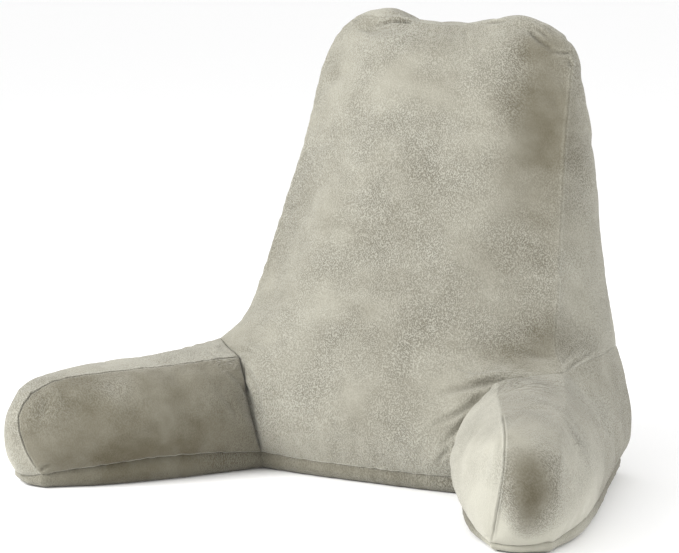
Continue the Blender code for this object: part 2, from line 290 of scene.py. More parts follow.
# %% [markdown]
# ## Panels
#
# A panel is the surface between four seams. The simplest one is a Coons patch, which blends the two pairs of
# opposite edges. The front and rear panels are wide and follow a profile down their middle, so their rows bow
# out to it from the side seams. The filling then lifts each panel along its own normals: a dome over the
# whole panel, and a quick roll beside each seam, which is what makes a stuffed edge look stuffed.

# %% Curves and patches
SEAM_ROLL = 0.005  # how high the cloth rolls up beside a seam
SEAM_REACH = 0.012  # and how far from the seam it takes to
EASE = 0.030  # how far a corner of a panel's edge is smoothed
CROWNS = {"gusset": 0.003, "arm_inner": 0.024, "arm_gusset": 0.005, "arm_outer": 0.011}
FULLNESS = 0.55  # 1 is a shallow parabola, less is a dome that rises sooner
BOW = 0.8  # less makes a front or rear panel flatter across its middle
END_PULL = 5  # more keeps the pull of its first and last seams nearer to them
CURVE_STEPS = 32  # points on a curve from one of its table's rows to the next


def nearness(distance, reach):
    """1 at no distance, and less further off: exp(-(distance / reach) ** 2)."""
    return np.exp(-((distance / reach) ** 2))


def smooth(rows):
    """A fine polyline through the rows, by Catmull-Rom."""
    knots = np.array(rows)
    knots = np.vstack([2 * knots[0] - knots[1], knots, 2 * knots[-1] - knots[-2]])
    t = np.linspace(0, 1, CURVE_STEPS + 1)[:-1, None]
    spans = []
    for a, b, c, d in zip(knots[:-3], knots[1:-2], knots[2:-1], knots[3:]):
        bend = (2 * a - 5 * b + 4 * c - d) * t**2 + (3 * (b - c) + d - a) * t**3
        spans.append(b + 0.5 * ((c - a) * t + bend))
    return np.vstack(spans + [knots[-2:-1]])


def resample(points, shares):
    """Points at the given shares of a polyline's length."""
    steps = np.linalg.norm(np.diff(points, axis=0), axis=1)
    along = np.concatenate([[0], np.cumsum(steps)])
    return np.stack([np.interp(shares * along[-1], along, column) for column in points.T], axis=1)


def join(*curves):
    """One curve from several that follow on."""
    return np.vstack([curves[0]] + [each[1:] for each in curves[1:]])


def mirror(points):
    """The points on the pillow's other side."""
    return points * (-1, 1, 1)


def both_sides(half):
    """A curve from -X to +X, from its half that starts in the middle."""
    return join(mirror(half)[::-1], half)


def coons(low, high, left, right, u, v):
    """The patch between four curves: the two ruled surfaces added, less the bilinear one on the corners."""
    u = u[:, None, None]
    v = v[None, :, None]
    across = low[:, None] * (1 - v) + high[:, None] * v
    along = left[None] * (1 - u) + right[None] * u
    near = low[0] * (1 - u) + low[-1] * u
    far = high[0] * (1 - u) + high[-1] * u
    return across + along - near * (1 - v) - far * v


def wide_panel(edge, profile, low, high, u, v):
    """Rows from -edge to +edge that bow out to the profile in their middle, by (1 - a*a) ** BOW at a from -1 to 1.

    The rows near the bottom and the top are then pulled to the seams low and high.
    """
    a = 2 * u[:, None] - 1
    bow = (1 - a * a) ** BOW
    middle = resample(smooth(profile), v)
    x = a * edge[:, 0]
    y = edge[:, 1] + bow * (middle[:, 0] - edge[:, 1])
    z = edge[:, 2] + bow * (middle[:, 1] - edge[:, 2])
    grid = np.stack([x, y, z], axis=2)
    v = v[None, :, None]
    to_low = (low - grid[:, 0])[:, None] * (1 - v) ** END_PULL
    to_high = (high - grid[:, -1])[:, None] * v**END_PULL
    return grid + to_low + to_high


def averaged(values, grid):
    """Values on a patch, averaged along u by a Gaussian EASE wide."""
    along = edge_distances(grid)[0].mean(axis=1)
    weight = nearness(along[:, None] - along, EASE) * np.gradient(along)
    return np.einsum("ik,kjc->ijc", weight / weight.sum(axis=1, keepdims=True), values)


def eased(grid):
    """The patch with the corners of its long edges smoothed away inside its seams."""
    inside = 1 - nearness(edge_distances(grid).min(axis=0), EASE)
    return grid + (averaged(grid, grid) - grid) * inside[..., None]


def edge_distances(grid):
    """Each point's distance, along the grid's lines, to the edges u = 0, u = 1, v = 0 and v = 1."""
    from_u = np.cumsum(np.linalg.norm(np.diff(grid, axis=0, prepend=grid[:1]), axis=2), axis=0)
    from_v = np.cumsum(np.linalg.norm(np.diff(grid, axis=1, prepend=grid[:, :1]), axis=2), axis=1)
    return np.stack([from_u, from_u[-1:] - from_u, from_v, from_v[:, -1:] - from_v])


class Panel:
    """One piece of plush: its grid of points, its stations, and whether the grid's normals point outwards."""

    def __init__(self, grid, u, v, crown, outward, turns_in=False):
        """The patch lifted by its filling: crown * (4u(1-u) * 4v(1-v)) ** FULLNESS, and a quick roll at the edges.

        Where its edge turns an inside corner, the way to lift is averaged, so that it doesn't fold over itself.
        """
        normal = np.cross(np.gradient(grid, axis=0), np.gradient(grid, axis=1))
        normal /= np.linalg.norm(normal, axis=2, keepdims=True)
        if turns_in:
            normal = averaged(normal, grid)
            normal /= np.linalg.norm(normal, axis=2, keepdims=True)
        self.outwards = bool(normal.mean(axis=(0, 1)) @ np.array(outward) > 0)
        dome = crown * np.outer(4 * u * (1 - u), 4 * v * (1 - v)).clip(0) ** FULLNESS
        nearest = edge_distances(grid).min(axis=0)
        lift = dome + SEAM_ROLL * (1 - np.exp(-nearest / SEAM_REACH))
        self.grid = grid + normal * lift[..., None] * (1 if self.outwards else -1)
        self.u = u
        self.v = v

    def mirrored(self):
        """The same piece for the pillow's other side."""
        twin = Panel.__new__(Panel)
        twin.grid = mirror(self.grid)
        twin.u = self.u
        twin.v = self.v
        twin.outwards = not self.outwards
        return twin


print("a curve through", len(FRONT_PROFILE), "points is read from", len(smooth(FRONT_PROFILE)))

# %% The cover's panels
SEAM_RUNS = {
    "root": "foot",
    "shoulder": "shoulder",
    "hip": "depth",
    "rear_foot": "foot",
    "front_side": "side",
    "rear_side": "side",
    "inner_foot": "length",
    "tip_foot": "shoulder",
    "inner_top": "length",
    "inner_tip": "foot",
    "outer_top": "length",
    "outer_tip": "foot",
    "front_foot": "across",
    "rear_base": "across",
}


def cover_panels(at):
    """Every panel of the cover, by name, at the given stations.

    The backrest has a front panel, a rear panel and one gusset over both sides and the top. Each arm has an
    inner panel, an outer panel and a gusset that runs over the arm's top and down its front. Where a panel's
    edge follows several runs, each one's share of the edge stands beside its stations.
    """
    seam = {name: resample(smooth(SEAMS[name]), at[run]) for name, run in SEAM_RUNS.items()}
    front_top = both_sides(resample(smooth(SEAMS["front_top"][::-1]), at["across"]))
    rear_top = both_sides(resample(smooth(SEAMS["rear_top"][::-1]), at["across"]))
    wide = chain((back(at["across"]), 1), (at["across"], 1))

    v = chain((at["foot"], 8), (at["shoulder"], 2), (at["side"], 21))
    edge = join(seam["root"], seam["shoulder"], seam["front_side"])
    grid = wide_panel(edge, FRONT_PROFILE, both_sides(seam["front_foot"]), front_top, wide, v)
    panels = {"front": Panel(grid, wide, v, 0, (0, -1, 0))}

    v = chain((at["foot"], 8), (at["side"], 21))
    edge = join(seam["rear_foot"], seam["rear_side"])
    grid = wide_panel(edge, REAR_PROFILE, both_sides(seam["rear_base"]), rear_top, wide, v)
    panels["rear"] = Panel(grid, wide, v, 0, (0, 1, 0))

    u = chain((at["side"], 16), (wide, 20), (back(at["side"]), 16))
    front_rim = join(seam["front_side"], front_top[::-1], mirror(seam["front_side"])[::-1])
    rear_rim = join(seam["rear_side"], rear_top[::-1], mirror(seam["rear_side"])[::-1])
    grid = coons(front_rim, rear_rim, seam["hip"], mirror(seam["hip"]), u, at["depth"])
    panels["gusset"] = Panel(grid, u, at["depth"], CROWNS["gusset"], (0, 0, 1))

    u, v = at["length"], at["foot"]
    grid = coons(seam["inner_foot"], seam["inner_top"], seam["root"], seam["inner_tip"], u, v)
    panels["inner_right"] = Panel(grid, u, v, CROWNS["arm_inner"], (-1, -1, 0))

    u, v = chain((at["length"], 14), (back(at["foot"]), 8)), at["shoulder"]
    low = join(seam["inner_top"], seam["inner_tip"][::-1])
    high = join(seam["outer_top"], seam["outer_tip"][::-1])
    grid = eased(coons(low, high, seam["shoulder"], seam["tip_foot"], u, v))
    panels["strip_right"] = Panel(grid, u, v, CROWNS["arm_gusset"], (0, 0, 1))

    u, v = chain((back(at["depth"]), 6), (at["length"], 14)), at["foot"]
    low = resample(smooth(SEAMS["outer_foot"]), u)
    high = join(seam["hip"][::-1], seam["outer_top"])
    grid = eased(coons(low, high, seam["rear_foot"], seam["outer_tip"], u, v))
    panels["outer_right"] = Panel(grid, u, v, CROWNS["arm_outer"], (1, 0, 0), turns_in=True)

    for name in ("inner", "strip", "outer"):
        panels[f"{name}_left"] = panels[f"{name}_right"].mirrored()
    return panels


coarse_panels = cover_panels(coarse)
fine_panels = cover_panels(fine)
print("points of the finished panels", {name: panel.grid.shape[:2] for name, panel in fine_panels.items()})

# %% [markdown]
# ## Sewing the panels into one cover
#
# Two panels that share a seam have the same points along it, because both read the same curve. Merging those
# points gives one bag. Every panel keeps a grid of the bag's point numbers, so that the bag can be changed as a
# whole and still be read panel by panel.

# %% The bag
MERGE = 1e-5  # points in the same cube of this size are one
CUBE_SHIFT = 0.37  # keeps the pillow's middle, x = 0, off a cube's face


def merged(points):
    """Where each different point is first found, and every point's number among them."""
    cubes = np.floor(points / MERGE + CUBE_SHIFT).astype(np.int64)
    _, first, number = np.unique(cubes, axis=0, return_index=True, return_inverse=True)
    return first, number.reshape(-1)


def sew(panels):
    """The bag's points, and each panel's grid of point numbers."""
    points = np.vstack([panel.grid.reshape(-1, 3) for panel in panels.values()])
    first, number = merged(points)
    numbers = {}
    start = 0
    for name, panel in panels.items():
        rows, columns = panel.grid.shape[:2]
        numbers[name] = number[start:start + rows * columns].reshape(rows, columns)
        start += rows * columns
    return points[first], numbers


def quads(numbers, outwards):
    """The faces of a grid of point numbers, with their normals pointing outwards."""
    corners = [numbers[:-1, :-1], numbers[1:, :-1], numbers[1:, 1:], numbers[:-1, 1:]]
    faces = np.stack([corner.reshape(-1) for corner in corners], axis=1)
    return faces if outwards else faces[:, ::-1]


def halves(squares):
    """Each face of four corners as two triangles."""
    return np.vstack([squares[:, [0, 1, 2]], squares[:, [0, 2, 3]]])


def crosses(points, triangles):
    """The cross product of two edges of each triangle. It stands along the normal and is twice the area long."""
    corner = points[triangles]
    return np.cross(corner[:, 1] - corner[:, 0], corner[:, 2] - corner[:, 0])


def normals_of(points, triangles):
    """Each point's normal: the sum of its triangles' cross products, at unit length."""
    spread = np.repeat(crosses(points, triangles), 3, axis=0)
    total = np.stack([np.bincount(triangles.reshape(-1), column, len(points)) for column in spread.T], axis=1)
    return total / np.linalg.norm(total, axis=1, keepdims=True).clip(1e-12)


coarse_bag, coarse_numbers = sew(coarse_panels)
fine_bag, fine_numbers = sew(fine_panels)
coarse_faces = np.vstack([quads(coarse_numbers[name], coarse_panels[name].outwards) for name in coarse_panels])
fine_faces = np.vstack([quads(fine_numbers[name], fine_panels[name].outwards) for name in fine_panels])
fine_triangles = halves(fine_faces)
print("points for the physics and for the finish", len(coarse_bag), len(fine_bag))

# %% [markdown]
# ## Stuffing
#
# Real filling presses outwards on cloth that cannot stretch much. Blender's cloth has the same two parts:
# stiffness and pressure. The seams are pinned, because the pattern already has them where the finished pillow
# does. The plush is cut a little larger than the space between its seams, by a negative shrink, so that it has
# something to bulge and pucker with. Gravity is off, and no point may move far, so the pillow keeps its size.

# %% Cloth physics
PRESSURE = 4.0
EXTRA_CLOTH = 0.012  # how much larger than flat the plush is cut
FRAMES = 20
MOST_MOVE = 0.010


def stuffed(points, faces, pinned):
    """How far each point of the bag moves when it is filled."""
    mesh = bpy.data.meshes.new("stuffing")
    mesh.from_pydata(points.tolist(), [], faces.tolist())
    bag = bpy.data.objects.new("stuffing", mesh)
    bpy.context.collection.objects.link(bag)
    group = bag.vertex_groups.new(name="seams")
    group.add(pinned.tolist(), 1.0, "REPLACE")
    modifier = bag.modifiers.new("cloth", "CLOTH")
    cloth = modifier.settings
    cloth.quality = 6
    cloth.mass = 0.3
    cloth.tension_stiffness = 15
    cloth.compression_stiffness = 15
    cloth.shear_stiffness = 5
    cloth.bending_stiffness = 0.6
    cloth.use_pressure = True
    cloth.uniform_pressure_force = PRESSURE
    cloth.effector_weights.gravity = 0
    cloth.vertex_group_mass = "seams"
    cloth.vertex_group_shrink = "seams"
    cloth.shrink_min = -EXTRA_CLOTH
    cloth.shrink_max = 0.0
    modifier.collision_settings.use_collision = False
    modifier.point_cache.frame_start = 1
    modifier.point_cache.frame_end = FRAMES
    scene = bpy.context.scene
    for number in range(1, FRAMES + 1):
        scene.frame_set(number)
    filled = bag.evaluated_get(bpy.context.evaluated_depsgraph_get()).data
    place = np.empty(len(points) * 3, np.float32)
    filled.vertices.foreach_get("co", place)
    move = place.reshape(-1, 3) - points
    bpy.data.objects.remove(bag)
    bpy.data.meshes.remove(mesh)
    scene.frame_set(1)
    far = np.linalg.norm(move, axis=1, keepdims=True).clip(1e-9)
    return move * np.tanh(far / MOST_MOVE) * MOST_MOVE / far


def seam_numbers(numbers):
    """The bag's point numbers along every panel's edges."""
    edges = [edge for grid in numbers.values() for edge in (grid[0], grid[-1], grid[:, 0], grid[:, -1])]
    return np.unique(np.concatenate(edges))


move = np.zeros_like(coarse_bag)
move = stuffed(coarse_bag, coarse_faces, seam_numbers(coarse_numbers))
print("the filling moves the plush by up to", round(float(np.linalg.norm(move, axis=1).max()), 4))

# %% Carry the movement to the finished grid
def spline(wanted, stations):
    """The matrix that reads a cubic B-spline over the stations. Its ends go on in a straight line."""
    count = len(stations)
    t = np.interp(wanted, stations, np.arange(count))
    i = np.minimum(t.astype(int), count - 2)
    f = t - i
    weights = np.stack([(1 - f) ** 3, 3 * f**3 - 6 * f**2 + 4, -3 * f**3 + 3 * f**2 + 3 * f + 1, f**3], axis=1) / 6
    matrix = np.zeros((len(wanted), count + 2))
    for step in range(4):
        np.add.at(matrix, (np.arange(len(wanted)), i + step), weights[:, step])
    matrix[:, 1] += 2 * matrix[:, 0]
    matrix[:, 2] -= matrix[:, 0]
    matrix[:, -2] += 2 * matrix[:, -1]
    matrix[:, -3] -= matrix[:, -1]
    return matrix[:, 1:-1]


def per_point(values, numbers, count):
    """Values given on every panel's grid, as one value for each point of the bag: the mean where panels meet."""
    order = np.concatenate([numbers[name].reshape(-1) for name in values])
    rows = np.vstack([value.reshape(-1, value.shape[-1]) for value in values.values()])
    total = np.stack([np.bincount(order, column, count) for column in rows.T], axis=1)
    return total / np.bincount(order, minlength=count)[:, None]


carried = {}
for name, panel in fine_panels.items():
    rough = coarse_panels[name]
    along = spline(panel.u, rough.u)
    up = spline(panel.v, rough.v)
    carried[name] = np.einsum("ia,jb,abk->ijk", along, up, move[coarse_numbers[name]], optimize=True)
cover = fine_bag + per_point(carried, fine_numbers, len(fine_bag))
print("the cover spans", np.ptp(cover, axis=0).round(3))

# %% [markdown]
# ## Relief
#
# Everything from here on lifts or lowers the cover by a height. A height works along the normal, but two panels
# that meet at a right angle would then push through each other beside their seam. So the way to lift turns, a
# few millimetres from each seam, to the seam's own normal, and both sides of the seam move together.
#
# The real pillow's seams don't look alike. Some are sharp and dark, some stand up, and some are nearly lost in
# the plush. So every seam has a look of five numbers, which blend where seams meet, and the nearly lost ones are
# rounded away: the cover beside them is drawn to its own mean.

# %% Lift the cover
SEAM_TURN = 0.006
LOOK_BLUR = 0.012  # how far along a seam one look passes into the next
SEAM_PARTS = 20  # the seams are worked through in this many parts
SOFT_REACH = 0.012  # a rounded seam is drawn to the mean of the cover this near
SOFT_BESIDE = 0.025  # and the rounding fades out this far from the seam
SOFT_ROOM = 0.030  # how far round a point the cover is looked at for that
SOFT_LEAST = 0.02  # a point whose share is smaller stays where it is
SOFT_PART = 250  # how many points are rounded at a time
ROOT_SHARE = 0.40  # how far along the right arm's top its seam is nearly lost
# A seam's look: how deep its fold is, how high the cloth beside it stands, how deep its groove and how dark the
# painted shade in it, how high its rib and how light the painted highlight on it, and how far it is rounded away.
SIDE_SEAM = (0, 0.0030, 0.10, 0.55, 0)
REAR_SEAM = (0, 0.0030, 1.0, 0.8, 0)
TOP_SEAM = (0, 0.0030, 0.35, 0.20, 0.2)
LEFT_ARM_SEAM = (0, 0.0035, 2.0, 0.7, 0)
RIGHT_ARM_SEAM = (0, 0.0035, 0.7, 1.5, 0)
RIGHT_ROOT_SEAM = (0, 0.0045, 0, 0.1, 0.6)
FAINT_SEAM = (0, 0.0060, 0, 0, 1)
FOOT_SEAM = (0, 0.0005, -1.4, 0, 0)  # turned outwards, so it has no groove, and painted highlight instead of painted shade at the thread
ROOT_JOIN = (0.9, 0.0010, 0, 0, 0)
SHOULDER_JOIN = (0.6, 0.0035, 0.5, 0.2, 0.3)
HIP_JOIN = (0, 0.0050, 0, 0, 0.9)


def lifted(points, height):
    """The points moved by a height along their normals, which turn to the seam's by exp(-(d / SEAM_TURN) ** 2)."""
    normal = normals_of(points, fine_triangles)
    turned = {}
    for name, numbers in fine_numbers.items():
        way = normal[numbers]
        near = nearness(edge_distances(points[numbers]), SEAM_TURN)[..., None]
        way = way * (1 - near[2]) * (1 - near[3]) + way[:, :1] * near[2] + way[:, -1:] * near[3]
        turned[name] = way * (1 - near[0]) * (1 - near[1]) + way[:1] * near[0] + way[-1:] * near[1]
    way = per_point(turned, fine_numbers, len(points))
    return points + way * (height / np.linalg.norm(way, axis=1))[:, None]


def foot_loop():
    """The point numbers along the foot seams, anticlockwise from the left arm's root, and where the corners are."""
    front = fine_numbers["front"][:, 0]
    right = [
        fine_numbers["inner_right"][:, 0],
        fine_numbers["strip_right"][-1],
        fine_numbers["outer_right"][::-1, 0],
    ]
    rear = fine_numbers["rear"][::-1, 0]
    left = [
        fine_numbers["outer_left"][:, 0],
        fine_numbers["strip_left"][-1, ::-1],
        fine_numbers["inner_left"][::-1, 0],
    ]
    loop = np.concatenate([run[:-1] for run in (front, *right, rear, *left)])
    root = len(front) - 1
    hip = root + sum(len(run) - 1 for run in right)
    return loop, {"right": (root, hip), "left": (0, hip + len(rear) - 1)}


def seam_looks():
    """What each seam looks like, by point, as the five numbers of a look."""
    foot = len(fine["foot"])
    arm = foot + len(fine["shoulder"]) - 1
    looks = np.tile(SIDE_SEAM, (len(fine_bag), 1))
    looks[fine_numbers["front"][:, -1]] = TOP_SEAM
    looks[seam_numbers({"rear": fine_numbers["rear"]})] = REAR_SEAM
    for side, seam in (("right", RIGHT_ARM_SEAM), ("left", LEFT_ARM_SEAM)):
        looks[fine_numbers[f"strip_{side}"][:, 0]] = seam
        looks[fine_numbers[f"strip_{side}"][:, -1]] = FAINT_SEAM
    looks[fine_numbers["strip_right"][fine_panels["strip_right"].u < ROOT_SHARE, 0]] = RIGHT_ROOT_SEAM
    looks[foot_loop()[0]] = FOOT_SEAM
    for column in (0, -1):
        looks[fine_numbers["front"][column, :foot]] = ROOT_JOIN
        looks[fine_numbers["front"][column, foot:arm]] = SHOULDER_JOIN
        looks[fine_numbers["rear"][column, :foot]] = ROOT_JOIN
        looks[fine_numbers["gusset"][column]] = HIP_JOIN
    return looks


def seam_facts(points):
    """Each point's distance to the nearest seam, and that seam's looks, blurred along the seam."""
    seams = seam_numbers(fine_numbers)
    given = seam_looks()
    looks = np.zeros_like(given)
    for part in np.array_split(seams, SEAM_PARTS):
        away = np.linalg.norm(points[part][:, None] - points[seams], axis=2)
        weight = nearness(away, LOOK_BLUR)
        looks[part] = weight @ given[seams] / weight.sum(axis=1, keepdims=True)
    facts = {}
    for name, numbers in fine_numbers.items():
        distance = edge_distances(points[numbers])
        look = looks[numbers]
        ends = np.stack(np.broadcast_arrays(look[:1], look[-1:], look[:, :1], look[:, -1:]))
        table = np.concatenate([distance[..., None], ends], axis=3)
        facts[name] = np.take_along_axis(table, distance.argmin(axis=0)[None, ..., None], 0)[0]
    return per_point(facts, fine_numbers, len(points)).T


def softened(points, share):
    """The points drawn, by their share, to the mean of the cover around them, weighed by exp(-(d / SOFT_REACH) ** 2).

    The work is cut into halves and then small parts, none of which looks further than it needs.
    """
    area = np.linalg.norm(crosses(points, fine_triangles), axis=1)
    weight = np.bincount(fine_triangles.reshape(-1), np.repeat(area, 3), len(points))
    result = points.copy()
    for side in (points[:, 0] > 0, points[:, 0] <= 0):
        moving = np.flatnonzero(side & (share > SOFT_LEAST))
        low, high = points[moving].min(axis=0) - SOFT_ROOM, points[moving].max(axis=0) + SOFT_ROOM
        around = np.flatnonzero(((points > low) & (points < high)).all(axis=1))
        for part in np.array_split(moving, len(moving) // SOFT_PART + 1):
            reach = np.abs(points[around] - points[part].mean(axis=0)).max(axis=1)
            here = around[reach < np.ptp(points[part], axis=0).max() + SOFT_ROOM]
            away = ((points[part][:, None] - points[here]) ** 2).sum(axis=2)
            pull = np.exp(-away / SOFT_REACH**2) * weight[here]
            mean = pull @ points[here] / pull.sum(axis=1, keepdims=True)
            result[part] += share[part, None] * (mean - points[part])
    return result


seam_gap, seam_fold, seam_rise, seam_groove_and_shade, seam_rib_and_highlight, seam_round = seam_facts(cover)
cover = lifted(cover, seam_rise * np.exp(-seam_gap / SEAM_REACH))
cover = softened(cover, seam_round * nearness(seam_gap, SOFT_BESIDE))
print("points beside a seam", int((seam_gap < SEAM_TURN).sum()))

# %% [markdown]
# ## Unevenness
#
# No two pillows are stuffed alike. The two ears differ most: on the left one the gusset stands up behind its
# seam, and on the right one it is pulled down. A pull is a soft bell that drags the cover in one direction.
# Lumps of filling add a slow unevenness, from plane waves in fixed random directions.

# %% Pulls and lumps
PULLS = [
    # x, y, z, reach, then how far along x, y and z
    (-0.118, 0.225, 0.625, 0.024, 0.000, 0.000, -0.014),
    (-0.125, 0.268, 0.622, 0.030, 0.000, 0.000, 0.004),
    (-0.065, 0.250, 0.622, 0.035, 0.000, 0.000, -0.004),
    (0.190, 0.232, 0.585, 0.035, 0.004, -0.002, 0.000),
    (0.130, 0.275, 0.622, 0.040, -0.002, 0.000, -0.010),
    (0.185, 0.275, 0.580, 0.035, -0.010, 0.000, -0.004),
    (0.165, 0.250, 0.610, 0.040, -0.003, 0.000, -0.006),
    # The left arm's side of the backrest, and that arm's top and tip.
    (-0.213, 0.178, 0.455, 0.085, 0.006, 0.003, 0.000),
    (-0.315, -0.060, 0.165, 0.100, 0.000, 0.000, -0.005),
    (-0.385, -0.190, 0.148, 0.070, 0.000, 0.000, -0.004),
    (-0.425, -0.248, 0.090, 0.060, 0.008, 0.004, -0.003),
    # The right arm's foot, which the stuffing pushes down.
    (0.325, -0.250, 0.024, 0.055, 0.004, 0.004, -0.014),
]
SINES = 24
LUMP_FREE = 0.02  # how far from a seam the lumps reach their height
LUMPS = [
    # wavelength, height
    (0.160, 0.0016),
    (0.070, 0.0007),
    (0.034, 0.0002),
]


def waves(points, wavelength, seed):
    """A smooth random height with unit spread: the sum of many sines in fixed random directions."""
    chance = np.random.default_rng(seed)
    direction = chance.normal(size=(SINES, 3))
    direction /= np.linalg.norm(direction, axis=1, keepdims=True)
    phase = chance.uniform(0, 2 * np.pi, SINES)
    return np.sin(points @ direction.T * 2 * np.pi / wavelength + phase).sum(axis=1) / np.sqrt(SINES / 2)


def bell(points, x, y, z, reach):
    """1 at the place x, y, z, falling off round it as exp(-(distance / reach) ** 2)."""
    return np.exp(-(((points - (x, y, z)) / reach) ** 2).sum(axis=1))


for x, y, z, reach, *pull in PULLS:
    cover += bell(cover, x, y, z, reach)[:, None] * pull
lump = sum(height * waves(cover, wavelength, seed) for seed, (wavelength, height) in enumerate(LUMPS))
cover = lifted(cover, lump * (1 - np.exp(-seam_gap / LUMP_FREE)))
print("lumps of", round(float(np.abs(lump).max()), 4))

# %% [markdown]
# ## Seams and creases
#
# A plain seam is a fine line that lies low, with the seam allowance as a rounded rib on either side of it. Its
# depth varies along it, and the plush gathers a little against the thread. Where an arm meets the backrest the
# two stuffed bodies press together, so that join is a wider fold with no rib. The creases are placed where the
# arms pull on the backrest and where the ears' corners are eased round: each is a soft trough with
# low ridges beside it, along a curve given in shares of a panel's width and height.

# %% Seam relief
GROOVE_DEPTH = 0.0016
GROOVE_WIDTH = 0.0010
RIB_HEIGHT = 0.0009
RIB_PLACE = 0.0028
RIB_WIDTH = 0.0014
FOLD_DEPTH = 0.0030
FOLD_WIDTH = 0.0065
GATHER_HEIGHT = 0.0004
GATHER_LENGTH = 0.016
GATHER_REACH = 0.014
GATHER_SEED = 12
RIB_UNEVEN = 0.3  # how much a rib's height varies along it
RIB_WAVE = 0.045
RIB_SEED = 11

groove = -GROOVE_DEPTH * nearness(seam_gap, GROOVE_WIDTH)
rib = RIB_HEIGHT * nearness(seam_gap - RIB_PLACE, RIB_WIDTH)
fold = -FOLD_DEPTH * nearness(seam_gap, FOLD_WIDTH)
uneven = 1 + RIB_UNEVEN * waves(cover, RIB_WAVE, RIB_SEED)
gathers = GATHER_HEIGHT * np.exp(-seam_gap / GATHER_REACH) * waves(cover, GATHER_LENGTH, GATHER_SEED)
relief = groove * seam_groove_and_shade.clip(0, 1) + rib * uneven * seam_rib_and_highlight + fold * seam_fold + gathers
cover = lifted(cover, relief)
print("seam relief from", round(float(relief.min()), 4), "to", round(float(relief.max()), 4))

# %% Creases
CREASE_STEPS = 24  # how many straight steps a crease's curve is cut into
CREASE_ROOM = 4  # how far a crease is felt, in its own widths, as the next three are
RIDGE_PLACE = 1.9
GLEAM_PLACE = 1.5
SHADE_WIDTH = 0.7
RIDGE_HEIGHT = 0.4  # as a share of the crease's depth
GLEAM = 0.3  # how much painted highlight lightens a ridge, as a share of how dark the painted shade in its trough is
CREASES = [
    # Panel, width, depth and how dark its painted shade is, then points as shares along and up the panel. It is
    # deepest near the first.
    # Where the right arm is sewn on, and what it pulls in the backrest.
    ("front", 0.0052, 0.0075, 0.25, [(0.99, 0.27), (0.96, 0.25), (0.89, 0.22), (0.79, 0.19)]),
    ("front", 0.0042, 0.0055, 0.22, [(0.97, 0.22), (0.94, 0.18), (0.89, 0.15), (0.82, 0.12)]),
    ("front", 0.0036, 0.0045, 0.20, [(0.96, 0.18), (0.92, 0.12), (0.87, 0.08)]),
    ("front", 0.0030, 0.0028, 0.15, [(0.91, 0.08), (0.88, 0.05), (0.86, 0.03)]),
    ("front", 0.0200, 0.0060, 0.00, [(0.99, 0.36), (0.92, 0.32), (0.84, 0.27), (0.77, 0.22)]),
    ("front", 0.0060, 0.0022, 0.10, [(0.98, 0.35), (0.94, 0.34), (0.88, 0.33)]),
    ("gusset", 0.0026, 0.0022, 0.28, [(0.000, 0.02), (0.004, 0.12), (0.007, 0.28), (0.012, 0.45)]),
    ("gusset", 0.0032, 0.0016, 0.12, [(0.010, 0.02), (0.016, 0.12), (0.020, 0.26)]),
    # Where the left arm is sewn on.
    ("inner_left", 0.0050, 0.0035, 0.12, [(0.01, 0.60), (0.06, 0.76), (0.13, 0.90)]),
    ("inner_left", 0.0045, 0.0025, 0.08, [(0.10, 0.36), (0.13, 0.50), (0.18, 0.66)]),
    ("front", 0.0045, 0.0030, 0.10, [(0.01, 0.24), (0.05, 0.19), (0.07, 0.15), (0.06, 0.07)]),
    ("front", 0.0040, 0.0022, 0.08, [(0.01, 0.28), (0.07, 0.25), (0.11, 0.19)]),
    ("strip_left", 0.0035, 0.0018, 0.15, [(0.02, 0.05), (0.03, 0.30), (0.02, 0.60)]),
    ("strip_left", 0.0035, 0.0014, 0.10, [(0.07, 0.03), (0.08, 0.25), (0.07, 0.45)]),
    ("inner_left", 0.0026, 0.0030, 0.35, [(0.995, 0.03), (0.985, 0.07), (0.965, 0.10), (0.945, 0.08)]),
    ("inner_right", 0.0030, 0.0025, 0.20, [(0.99, 0.03), (0.97, 0.06), (0.94, 0.06)]),
    # Where the corners of the ears are eased round.
    ("front", 0.0032, 0.0060, 0.45, [(0.340, 0.998), (0.270, 0.994), (0.210, 0.990), (0.160, 0.976)]),
    ("front", 0.0030, 0.0030, 0.15, [(0.210, 0.976), (0.170, 0.966), (0.120, 0.960)]),
    ("front", 0.0024, 0.0025, 0.30, [(0.035, 0.998), (0.065, 0.990), (0.100, 0.974)]),
    ("front", 0.0026, 0.0030, 0.35, [(0.670, 0.998), (0.720, 0.996), (0.790, 0.992)]),
    ("front", 0.0034, 0.0050, 0.40, [(0.840, 0.970), (0.886, 0.954), (0.912, 0.944), (0.940, 0.934)]),
    ("front", 0.0030, 0.0030, 0.20, [(0.860, 0.982), (0.900, 0.970), (0.930, 0.956)]),
    ("front", 0.0028, 0.0045, 0.40, [(1.000, 0.956), (0.971, 0.946), (0.946, 0.941), (0.920, 0.938)]),
    ("front", 0.0024, 0.0028, 0.30, [(1.000, 0.922), (0.988, 0.931), (0.972, 0.937)]),
    ("front", 0.0040, 0.0020, 0.05, [(0.58, 0.99), (0.60, 0.96), (0.63, 0.93)]),
    ("front", 0.0040, 0.0016, 0.05, [(0.47, 0.99), (0.48, 0.965), (0.50, 0.94)]),
]


def on_panel(name, shares):
    """Points of the cover at the given shares of a panel."""
    panel = fine_panels[name]
    grid = cover[fine_numbers[name]]
    i = np.interp([share[0] for share in shares], panel.u, np.arange(len(panel.u))).round().astype(int)
    j = np.interp([share[1] for share in shares], panel.v, np.arange(len(panel.v))).round().astype(int)
    return grid[i, j]


